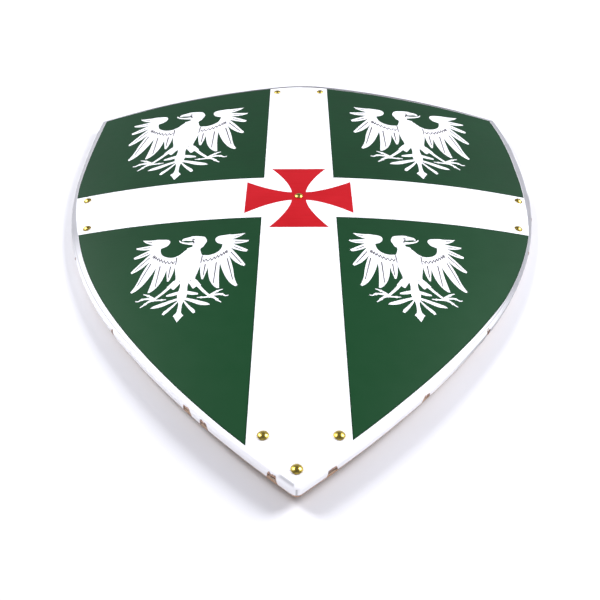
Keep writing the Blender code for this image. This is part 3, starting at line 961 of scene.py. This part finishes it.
def mesh_piece(name, points, faces, finish, place):
    """A piece from points in its own place, which its finish can read."""
    mesh = bpy.data.meshes.new(name)
    mesh.from_pydata([place @ Vector(point) for point in points], [], faces)
    mesh.materials.append(finish)
    own = mesh.attributes.new('own', 'FLOAT_VECTOR', 'POINT')
    for index, point in enumerate(points):
        own.data[index].vector = point
    mesh.shade_smooth()
    mesh.set_sharp_from_angle(angle=radians(42))
    return linked(name, mesh)


def turned(profile, sides):
    """Points and faces of a closed shape turned about Z from a profile that starts and ends on it."""
    points = [(0, 0, profile[0][1])]
    rings = []
    for radius, height in profile[1:-1]:
        rings.append(list(range(len(points), len(points) + sides)))
        turns = [2 * pi * index / sides for index in range(sides)]
        points += [(radius * cos(turn), radius * sin(turn), height) for turn in turns]
    top, low = rings[0], rings[-1]
    faces = [(0, here, after) for here, after in zip(top, top[1:] + top[:1])]
    for first, second in zip(rings, rings[1:]):
        faces += ring_faces(first, second)
    faces += [(here, len(points), after) for here, after in zip(low, low[1:] + low[:1])]
    return points + [(0, 0, profile[-1][1])], faces


def domed_head(radius, height, rings, roll):
    """Profile of a domed head from its top to its underside, its rim rolled over."""
    dome = height - HEAD_RIM
    ball = (radius ** 2 + dome ** 2) / (2 * dome)
    sweep = asin(radius / ball) * DOME_SHARE
    profile = []
    for step in range(rings + 1):
        angle = sweep * step / rings
        profile.append((ball * sin(angle), SEAT_GAP + height - ball * (1 - cos(angle))))
    for inset, rise in ((0, HEAD_RIM + roll * 0.2), (0, roll), (roll, 0)):
        profile.append((radius - inset, SEAT_GAP + rise))
    return profile


def nail_places():
    """Name and flat place of every nail, following the painted cross."""
    half = NAIL_PAIR_SPACING / 2
    places = [('centre_nail', on_pattern(0, 0))]
    for word, across, shift in (('left', -half, LOWER_LEFT_NAIL_SHIFT), ('right', half, 0.0)):
        places.append(('top_nail_' + word, on_pattern(across, TOP_HEIGHT - TOP_NAIL_INSET)))
        places.append(('lower_nail_' + word, on_pattern(across + shift, LOWER_NAIL_RISE - TIP_LENGTH)))
    for word, up in (('upper', half), ('lower', -half)):
        left = LEFT_NAIL_INSET - half_width(LEFT, up)
        right = half_width(RIGHT, up) - RIGHT_NAIL_INSET
        places.append(('left_nail_' + word, (left, on_pattern(left, up)[1])))
        places.append(('right_nail_' + word, (right, on_pattern(right, up)[1])))
    places.append(('tip_nail', (0.0, TIP_NAIL_INSET - TIP_LENGTH)))
    return places


def make_nails(finish):
    """Ten domed nails, each hammered in a hair off square."""
    profile = domed_head(NAIL_HEAD_RADIUS, NAIL_HEAD_HEIGHT, 9, NAIL_ROLL)
    profile += [(NAIL_SHANK_RADIUS, SEAT_GAP), (NAIL_SHANK_RADIUS, NAIL_POINT - NAIL_LENGTH)]
    shape = turned(profile + [(0, -NAIL_LENGTH)], 36)
    for number, (name, (x, y)) in enumerate(nail_places()):
        place = seat(x, y, 0)
        for axis, scale, seed in (('X', 1.7, 2.2), ('Y', 1.3, 8.2)):
            place = place @ Matrix.Rotation(NAIL_LEAN * wobble(number, 0.5, scale, seed), 4, axis)
        stand_for(mesh_piece(name + '_head', *shape, finish, place), name)


def strap_seat(width):
    """How far below the front a strap's underside lies, clear of the board's hollow back."""
    back_radius = FACE_RADIUS - BACK_DEPTH
    return BACK_DEPTH + STRAP_GAP + back_radius - sqrt(back_radius ** 2 - (width / 2) ** 2)


def strap_stations(span):
    """Distances along a strap, close together at its rounded ends."""
    end = span / 2 + STRAP_FOOT
    near = [end - STRAP_CORNER * (1 - cos(pi / 2 * step / 7)) for step in range(8)]
    near += [span / 2 + (end - STRAP_CORNER - span / 2) * share for share in (0.75, 0.5, 0.25)]
    arch = [span * (0.5 - step / 64) for step in range(65)]
    return sorted(set([-place for place in near] + near + arch))


def strap_rise(along, span):
    share = along / span + 0.5
    if not 0 < share < 1:
        return 0.0
    climb = min(1.0, min(share, 1 - share) / STRAP_RAMP)
    return STRAP_RISE * climb ** 2 * (3 - 2 * climb)


def strap_section(half):
    """Cross section of a strap: rounded edges, and a creased line beside each on the outer side."""
    crease = half - CREASE_INSET
    inner = crease + STRAP_CREASE[0][0]
    right = [(share * inner, STRAP_THICKNESS) for share in (0.0, 0.25, 0.5, 0.75)]
    right += [(crease + across, STRAP_THICKNESS - deep) for across, deep in STRAP_CREASE]
    right += [(half - inset, STRAP_THICKNESS - deep) for inset, deep in quarter_round(STRAP_ROUND, 6)]
    right += [(half - inset, height) for height, inset in quarter_round(STRAP_UNDER_ROUND, 4)]
    right += [(half * 0.6, 0.0), (half * 0.3, 0.0)]
    return right + [(0.0, 0.0)] + [(-across, height) for across, height in right[:0:-1]]


def make_strap(name, x, width, span, finish):
    """A leather band bowed between two flat feet, with rounded ends and creased edges."""
    half = width / 2
    end = span / 2 + STRAP_FOOT
    section = strap_section(half)
    points, faces, rows = [], [], []
    for along in strap_stations(span):
        rise = strap_rise(along, span)
        climb = strap_rise(along + SLOPE_STEP, span) - strap_rise(along - SLOPE_STEP, span)
        lean = Vector((0, -climb / (2 * SLOPE_STEP), -1)).normalized()
        into_corner = max(0.0, STRAP_CORNER - (end - abs(along)))
        reach = half - STRAP_CORNER + sqrt(max(0.0, STRAP_CORNER ** 2 - into_corner ** 2))
        sag = STRAP_SAG * wobble(along, 0.3, 60, x * 9) if rise > 0 else 0.0
        rows.append(list(range(len(points), len(points) + len(section))))
        for across, height in section:
            pulled = across * reach / half if abs(across) > half - STRAP_CORNER else across
            pulled = max(-reach, min(reach, pulled))
            points.append(Vector((pulled, along, -rise)) + lean * (height + sag))
    for first, second in zip(rows, rows[1:]):
        faces += ring_faces(first, second)
    faces += [rows[0], rows[-1][::-1]]
    place = seat(x, STRAP_CENTRE_HEIGHT, strap_seat(width))
    stand_for(mesh_piece(name + '_leather', points, faces, finish, place), name)


def cross_recess():
    """A cross-shaped driver that narrows downwards."""
    near, far = RECESS_HALF, RECESS_REACH
    top = SCREW_HEAD_HEIGHT + RECESS_CLEARANCE
    corners, outline = [(near, far), (-near, far), (-near, near)], []
    for quarter in range(4):
        outline += corners
        corners = [(-b, a) for a, b in corners]
    points = [(a, b, top) for a, b in outline]
    points += [(a * RECESS_TAPER, b * RECESS_TAPER, top - RECESS_DEPTH) for a, b in outline]
    upper, lower = list(range(12)), list(range(12, 24))
    mesh = bpy.data.meshes.new('driver')
    mesh.from_pydata(points, [], [upper, lower[::-1], *ring_faces(upper, lower)])
    return linked('driver', mesh)


def make_screws(finish):
    """Pan-head screws with a cross recess, two in each foot of each strap."""
    length = STRAP_THICKNESS + STRAP_GAP + SCREW_BITE
    shank = SCREW_SHANK_RADIUS
    profile = domed_head(SCREW_HEAD_RADIUS, SCREW_HEAD_HEIGHT, 8, SCREW_ROLL)
    profile += [(shank, SEAT_GAP), (shank, shank - length), (0, -length)]
    whole = mesh_piece('screw_blank', *turned(profile, 32), finish, Matrix.Identity(4))
    driver = cross_recess()
    cut = whole.modifiers.new('recess', 'BOOLEAN')
    cut.operation = 'DIFFERENCE'
    cut.solver = 'EXACT'
    cut.object = driver
    depsgraph = bpy.context.evaluated_depsgraph_get()
    mesh = bpy.data.meshes.new_from_object(whole.evaluated_get(depsgraph))
    shape = [tuple(vert.co) for vert in mesh.vertices], [tuple(face.vertices) for face in mesh.polygons]
    bpy.data.objects.remove(whole)
    bpy.data.objects.remove(driver)
    bpy.data.meshes.remove(mesh)
    number = 0
    for strap, x, width, span in STRAPS:
        across = width / 2 - SCREW_EDGE_DISTANCE
        foot_seat = seat(x, STRAP_CENTRE_HEIGHT, strap_seat(width) + STRAP_THICKNESS)
        for foot, end in (('upper', 1), ('lower', -1)):
            for word, side in (('left', LEFT), ('right', RIGHT)):
                number += 1
                place = foot_seat @ Matrix.Translation((side * across, end * (span + STRAP_FOOT) / 2, 0))
                place = place @ Matrix.Rotation(pi, 4, 'X') @ Matrix.Rotation(number * SCREW_TURN, 4, 'Z')
                name = f'{strap}_screw_{foot}_{word}'
                stand_for(mesh_piece(name + '_cross', *shape, finish, place), name)


def operator(operation, swapped=False):
    """A sum of two wires or numbers."""
    def result(first, second):
        terms = (second, first) if swapped else (first, second)
        return first.math(operation, *terms)
    return result


class Wire:
    """A shader socket: sums with it add Math nodes, and node() adds any other node."""

    __add__ = __radd__ = operator('ADD')
    __sub__ = operator('SUBTRACT')
    __rsub__ = operator('SUBTRACT', swapped=True)
    __mul__ = __rmul__ = operator('MULTIPLY')
    __truediv__ = operator('DIVIDE')
    __pow__ = operator('POWER')

    def __init__(self, tree, socket=None):
        self.tree = tree
        self.socket = socket

    def node(self, kind, settings, values, output=0):
        made = self.tree.nodes.new(kind)
        for name, value in settings.items():
            setattr(made, name, value)
        for name, value in values.items():
            if isinstance(value, Wire):
                self.tree.links.new(value.socket, made.inputs[name])
            else:
                made.inputs[name].default_value = value
        return Wire(self.tree, made.outputs[output])

    def math(self, operation, *terms):
        return self.node('ShaderNodeMath', {'operation': operation}, dict(enumerate(terms)))

    def between(self, low, high):
        """0 below low, 1 above high and a smooth change between them."""
        values = {'Value': self, 'From Min': low, 'From Max': high}
        return self.node('ShaderNodeMapRange', {'interpolation_type': 'SMOOTHSTEP'}, values)

    def mixed(self, first, second):
        """A colour from first to second by this value."""
        pair = [shade if isinstance(shade, Wire) else (*shade, 1.0) for shade in (first, second)]
        settings = {'data_type': 'RGBA', 'clamp_factor': True}
        return self.node('ShaderNodeMix', settings, {0: self, 6: pair[0], 7: pair[1]}, 2)

    def times(self, x, y, z):
        """This vector with each part times a number."""
        return self.node('ShaderNodeVectorMath', {'operation': 'MULTIPLY'}, {0: self, 1: (x, y, z)})

    def part(self, index):
        """One part of this vector."""
        return self.node('ShaderNodeSeparateXYZ', {}, {0: self}, index)

    def named(self, name):
        """A vector that the mesh holds under a name."""
        return self.node('ShaderNodeAttribute', {'attribute_name': name}, {}, 1)

    def grain(self, scale, detail, rough=0.55, distortion=0.0):
        """Fractal noise from 0 to 1 at this vector."""
        values = {'Vector': self, 'Scale': scale, 'Detail': detail}
        values.update({'Roughness': rough, 'Distortion': distortion})
        return self.node('ShaderNodeTexNoise', {}, values)

    def cells(self, scale, **settings):
        """Distance in a pattern of cells at this vector."""
        return self.node('ShaderNodeTexVoronoi', settings, {'Vector': self, 'Scale': scale})


def finish_from(name, shade, metallic=0.0, specular=0.5):
    """A material whose colour, roughness and relief come from shade(start)."""
    material = bpy.data.materials.new(name)
    material.use_nodes = True
    tree = material.node_tree
    shader = tree.nodes['Principled BSDF']
    shader.inputs['Metallic'].default_value = metallic
    shader.inputs['Specular IOR Level'].default_value = specular
    start = Wire(tree)
    base, rough, relief, height = shade(start)
    bump = start.node('ShaderNodeBump', {}, {'Height': relief, 'Distance': height, 'Strength': 1.0})
    tree.links.new(base.socket, shader.inputs['Base Color'])
    tree.links.new(rough.socket, shader.inputs['Roughness'])
    tree.links.new(bump.socket, shader.inputs['Normal'])
    return material


def white_cover(start):
    """Satin white skin: fine grain, slow waves, faint scuffs and soiled lower walls. Painted shade greys
    the upper margins, the top rim, the lower right wall and the bend of the edge, and darkens the tip's
    crease and seam; a darker brown strip runs along the lip.
    """
    flat, near, marks = [start.named(name) for name in ('flat', 'near', 'marks')]
    depth = flat.part(2)
    right = flat.part(0).between(-0.05, 0.05)
    up = flat.part(1)
    edge = near.part(1)
    # Painted shade: the margin and rounded edge are greyed on the upper sides, darker on the right, with a
    # lighter stretch of the right margin kept out of this shade.
    margin = 1 - near.part(2).between(0.93, 1.0)
    bright = right * (1 - edge.between(0.0028, 0.0046)) * up.between(0.045, 0.075)
    edge_shade_share = 1 - 0.8 * (bright * (1 - up.between(0.15, 0.18)))
    soft = flat.grain(9, 3)
    patch = flat.grain(31, 4)
    fine = flat.grain(1400, 2)
    pores = flat.grain(520, 3)
    scuffs = flat.times(1, 5, 1).grain(60, 5, 0.7).between(0.66, 0.74)
    soiled = depth.between(0.0090, 0.0113) * patch.between(0.45, 0.7)
    base = soft.between(0.35, 0.7).mixed((0.90, 0.90, 0.905), (0.88, 0.88, 0.88))
    # Painted shade on the upper margins and rounded edge, which get less light than the face.
    high = (up + 0.10 * right).between(-0.14, -0.03)
    handling_and_edge_shade = right.mixed((0.31, 0.31, 0.32), (0.24, 0.24, 0.25))
    base = (margin * high * (0.80 + 0.2 * patch) * edge_shade_share).mixed(base, handling_and_edge_shade)
    # Painted shade: a dark line along the top rim, which turns away from the light.
    top = (1 - edge.between(0.0062, 0.0074)) * up.between(0.262, 0.270)
    base = (top * 0.92).mixed(base, (0.08, 0.08, 0.085))
    # Painted shade on the lower right side wall.
    wall = right * depth.between(0.0016, 0.0036) * up.between(-0.29, -0.22) * edge_shade_share
    base = (wall * 0.9).mixed(base, (0.24, 0.24, 0.255))
    # Painted shade: a grey line where the face bends into the rounded edge, fainter where the upper margin
    # is already greyed.
    bend = 1 - edge.math('ABSOLUTE', edge - 0.0036).between(0.0003, 0.0009)
    base = (bend * up.between(-0.36, -0.18) * (0.7 - 0.5 * high)).mixed(base, (0.20, 0.20, 0.21))
    # Painted shade in the tip's crease and seam.
    base = (marks.part(0) * 0.7).mixed(base, (0.30, 0.30, 0.31))
    base = (scuffs * 0.5).mixed(base, (0.70, 0.70, 0.69))
    base = (soiled * 0.35).mixed(base, (0.50, 0.45, 0.38))
    # A darker brown strip along the lip and round the notches' torn edges.
    torn = pores.between(0.45, 0.62).mixed((0.38, 0.180, 0.090), (0.10, 0.046, 0.028))
    base = (marks.part(1) * (0.65 + 0.5 * pores)).mixed(base, torn)
    rough = 0.30 + 0.10 * patch + 0.15 * scuffs + 0.1 * soiled + 0.2 * top
    relief = fine * 0.25 + pores * 0.75 + soft * 14 - scuffs * 0.6
    return base, rough, relief, 0.00003


def green_paint(start):
    """Dark green paint: brushed out along the bands, uneven in tone, thicker at its edges, and painted
    lighter toward the tip, where more light falls.
    """
    flat = start.named('flat')
    edge = start.named('near').part(0)
    soft = flat.grain(7, 4, 0.6)
    patch = flat.grain(55, 5, 0.65)
    strokes = flat.times(1, 14, 1).grain(26, 4, 0.6)
    tone = 0.45 * soft + 0.25 * patch + 0.30 * strokes
    base = tone.between(0.32, 0.68).mixed((0.0026, 0.030, 0.0080), (0.0039, 0.040, 0.0115))
    # Painted light: the green is made lighter toward the tip, where more light falls.
    low = 1 - flat.part(1).between(-0.26, 0.10)
    base = (low * 0.8).mixed(base, (0.0039, 0.0505, 0.0130))
    rim = (1 - edge.between(0.0003, 0.0019)) * (0.55 + 0.45 * strokes)
    base = (rim * 0.75).mixed(base, (0.0016, 0.018, 0.0058))
    relief = strokes + flat.grain(1100, 2) * 0.15 + soft * 6
    return base, 0.38 + 0.16 * patch, relief, 0.00004


def red_paint(start):
    """Bright red paint, a little thinner here and there."""
    flat = start.named('flat')
    soft = flat.grain(20, 4)
    strokes = flat.times(1, 9, 1).grain(34, 4)
    tone = 0.6 * soft + 0.4 * strokes
    base = tone.between(0.3, 0.7).mixed((0.40, 0.0028, 0.0065), (0.455, 0.0056, 0.0112))
    relief = strokes + soft * 3 + flat.grain(1100, 2) * 0.15
    return base, 0.36 + 0.14 * soft, relief, 0.00003


def ink_line(start):
    """Thin drawn line, grey-lilac, broken by the grain of the cover."""
    worn = start.named('flat').grain(260, 3)
    base = worn.between(0.4, 0.75).mixed((0.020, 0.018, 0.026), (0.065, 0.058, 0.070))
    return base, 0.42 + 0.2 * worn, worn, 0.00002


def plywood_back(start):
    """Sanded face veneer with the grain along the shield, growth lines, pores and a few knots."""
    flat = start.named('flat')
    drift = flat.times(2.2, 0.7, 0).grain(3, 2)
    bands = flat.times(16, 0.9, 0).grain(3.2, 3, 0.5, 1.1)
    lines = bands.math('FRACT', bands * 15 + drift * 4).between(0.0, 0.9)
    fibre = flat.times(1, 0.035, 1).grain(1500, 4, 0.65)
    pores = flat.times(1, 0.06, 1).grain(620, 3, 0.7).between(0.60, 0.72)
    soft = flat.grain(6, 3)
    knot = 1 - flat.times(1, 0.55, 0).cells(6.5).between(0.030, 0.065)
    tone = 0.62 * lines + 0.25 * soft + 0.2 * fibre
    base = tone.between(0.2, 0.95).mixed((0.63, 0.42, 0.235), (0.47, 0.285, 0.14))
    base = (pores * 0.45).mixed(base, (0.30, 0.165, 0.075))
    base = (knot * 0.75).mixed(base, (0.22, 0.11, 0.045))
    handling_and_edge_shade = flat.grain(14, 3).between(0.52, 0.75)
    base = (handling_and_edge_shade * 0.25).mixed(base, (0.40, 0.27, 0.16))
    return base, 0.58 + 0.16 * fibre - 0.1 * handling_and_edge_shade, fibre * 0.6 + lines * 0.5 - pores, 0.00007


def plywood_edge(start):
    """The board's cut edge: thin layers whose grain runs one way and the other."""
    flat = start.named('flat')
    depth = flat.part(2)
    layer = (depth + flat.grain(24, 2) * 0.00035) / 0.0013
    turn = layer.math('PINGPONG', layer, 1.0)
    ends = flat.grain(1700, 3, 0.7)
    along = flat.times(0.06, 0.06, 1).grain(1500, 3, 0.6)
    cross_ply = turn.between(0.42, 0.58)
    glue = 1 - turn.math('ABSOLUTE', turn - 0.5).between(0.02, 0.09)
    light = (along * 0.9).mixed((0.72, 0.57, 0.43), (0.58, 0.42, 0.29))
    dark = ends.mixed((0.50, 0.35, 0.23), (0.34, 0.22, 0.13))
    base = (glue * 0.6).mixed(cross_ply.mixed(light, dark), (0.20, 0.12, 0.07))
    # Marked wood turns near black higher up, where the painted shadow under the torn cover falls in a
    # notch, and brown low down in the strip below the lip.
    torn = depth.between(0.0102, 0.0112).mixed((0.045, 0.030, 0.022), (0.46, 0.22, 0.105))
    base = (start.named('marks').part(1) * 0.9).mixed(base, torn)
    relief = ends * cross_ply + along * 0.4 - glue * 0.6
    return base, 0.68 + 0.15 * ends, relief, 0.00012


def nail_brass(start):
    """Polished brass, browned a little toward the rim and finely scratched."""
    own = start.named('own')
    place = start.node('ShaderNodeTexCoord', {}, {}, 3)
    x, y = own.part(0), own.part(1)
    spots = place.grain(420, 4, 0.6)
    scratches = place.times(1, 9, 1).grain(1500, 3, 0.6)
    rim = ((x * x + y * y) ** 0.5).between(0.0030, 0.0048)
    base = spots.between(0.35, 0.7).mixed((0.66, 0.52, 0.120), (0.48, 0.35, 0.055))
    base = (rim * (0.10 + 0.3 * spots)).mixed(base, (0.30, 0.18, 0.04))
    return base, 0.23 + 0.12 * spots + 0.10 * rim, scratches * 0.5 + spots * 1.5, 0.00002


def strap_leather(start):
    """Waxed brown strap leather: pebbled grain and cross creases."""
    own = start.named('own')
    pebbles = own.cells(620.0, feature='DISTANCE_TO_EDGE').between(0.0, 0.35)
    soft = own.grain(40, 4)
    mottle = own.grain(170, 4, 0.6)
    creases = own.times(0.22, 1, 0.3).grain(300, 4, 0.65).between(0.56, 0.68)
    tone = 0.5 * soft + 0.5 * mottle
    base = tone.between(0.3, 0.7).mixed((0.125, 0.052, 0.022), (0.235, 0.108, 0.048))
    base = ((1 - pebbles) * 0.5).mixed(base, (0.06, 0.025, 0.011))
    base = (creases * 0.35).mixed(base, (0.30, 0.155, 0.08))
    relief = pebbles * 0.9 + soft * 1.2 - creases * 0.8
    return base, 0.44 + 0.18 * mottle + 0.1 * creases, relief, 0.00012


def dark_steel(start):
    """Dark plated steel with fine turning marks and bare metal where the driver slipped."""
    own = start.named('own')
    marks = own.grain(900, 4, 0.6)
    worn = own.grain(330, 3).between(0.60, 0.72)
    base = marks.mixed((0.20, 0.19, 0.185), (0.30, 0.29, 0.28))
    base = (worn * 0.6).mixed(base, (0.52, 0.50, 0.47))
    return base, 0.30 + 0.2 * marks - 0.08 * worn, marks, 0.00002


def pale_floor(start):
    """Plain white studio floor with a hardly visible mottle."""
    soft = start.node('ShaderNodeTexCoord', {}, {}, 3).grain(3, 3)
    base = soft.mixed((0.745, 0.748, 0.755), (0.765, 0.768, 0.77))
    return base, 0.75 + 0.1 * soft, soft, 0.00005


# Camera, fitted to the photograph on the board's own frame
FOCAL_LENGTH = 40.72
CAMERA_PLACE = (0.0052, -0.6857, 0.4383)
CAMERA_PITCH = radians(41.298)
CAMERA_YAW = radians(0.538)
CAMERA_ROLL = radians(0.034)

# Soft lights: name, place, target, size, power and tint
LIGHTS = (
    ('left_softbox', (-1.2, 0.22, 1.3), (0, -0.05, 0), (0.5, 0.6), 22.5, (0.985, 0.985, 1.045)),
    ('left_card', (-0.95, 0.45, 0.5), (-0.33, 0.12, 0), (0.3, 0.3), 2.4, (1.0, 1.0, 1.0)),
    ('front_softbox', (0, -2.3, 0.75), (0, 0, 0), (2.4, 0.6), 21, (1.0, 0.99, 1.03)),
    ('right_softbox', (1.28, 0.22, 1.2), (0, -0.05, 0), (0.7, 0.8), 35, (0.985, 0.985, 1.045)),
    ('background_softbox', (0, 1.0, 0.9), (0, 2.2, 0.2), (3.2, 0.5), 120, (1.0, 1.0, 1.0)),
)
FLOOR_REACH = 6.0


def make_camera():
    """The camera, where the photograph's stood."""
    lens = bpy.data.cameras.new('studio_camera')
    lens.sensor_width = 36
    lens.lens = FOCAL_LENGTH
    lens.clip_start = 0.01
    camera = linked('studio_camera', lens)
    turn = Matrix.Rotation(CAMERA_YAW, 4, 'Z') @ Matrix.Rotation(pi / 2 - CAMERA_PITCH, 4, 'X')
    turn = turn @ Matrix.Rotation(CAMERA_ROLL, 4, 'Z')
    camera.matrix_world = AT_REST @ Matrix.Translation(CAMERA_PLACE) @ turn
    bpy.context.scene.camera = camera


def softbox(name, place, target, size, power, tint):
    """A soft rectangular light that points at a target."""
    light = bpy.data.lights.new(name, 'AREA')
    light.shape = 'RECTANGLE'
    light.size, light.size_y = size
    light.energy = power
    light.color = tint
    turn = (Vector(target) - Vector(place)).to_track_quat('-Z', 'Y').to_matrix().to_4x4()
    linked(name, light).matrix_world = Matrix.Translation(place) @ turn


def make_studio():
    """White floor, soft lights and an even pale surround, a little darker overhead."""
    mesh = bpy.data.meshes.new('studio_floor')
    corners = [(x * FLOOR_REACH, y * FLOOR_REACH, 0) for x, y in ((-1, -1), (1, -1), (1, 1), (-1, 1))]
    mesh.from_pydata(corners, [], [(0, 1, 2, 3)])
    mesh.materials.append(finish_from('pale_floor', pale_floor, specular=0.2))
    floor = linked('studio_floor', mesh)
    for light in LIGHTS:
        softbox(*light)

    world = bpy.data.worlds.new('studio_surround')
    world.use_nodes = True
    bpy.context.scene.world = world
    background = world.node_tree.nodes['Background']
    direction = Wire(world.node_tree).node('ShaderNodeTexCoord', {}, {}, 0)
    behind = direction.part(1).between(-0.1, 0.7) * (1 - direction.part(2).between(0.40, 0.80))
    glow = behind.mixed((0.11, 0.11, 0.15), (0.46, 0.46, 0.52))
    world.node_tree.links.new(glow.socket, background.inputs['Color'])
    background.inputs['Strength'].default_value = 1.0


make_camera()
make_studio()
bpy.context.scene.view_settings.view_transform = 'Standard'

cover = make_cover({
    'white_cover': finish_from('white_cover', white_cover, specular=0.45),
    'green_paint': finish_from('green_paint', green_paint, specular=0.22),
    'red_paint': finish_from('red_paint', red_paint, specular=0.2),
    'ink': finish_from('ink_line', ink_line, specular=0.3),
})
stand_for(cover, 'painted_cover')

board = make_board({
    'plywood_edge': finish_from('plywood_edge', plywood_edge, specular=0.3),
    'plywood_back': finish_from('plywood_back', plywood_back, specular=0.3),
})
stand_for(board, 'plywood_board')

make_nails(finish_from('nail_brass', nail_brass, metallic=1.0))
leather = finish_from('strap_leather', strap_leather, specular=0.4)
for strap in STRAPS:
    make_strap(*strap, leather)
make_screws(finish_from('dark_steel', dark_steel, metallic=1.0))

bpy.context.view_layer.update()
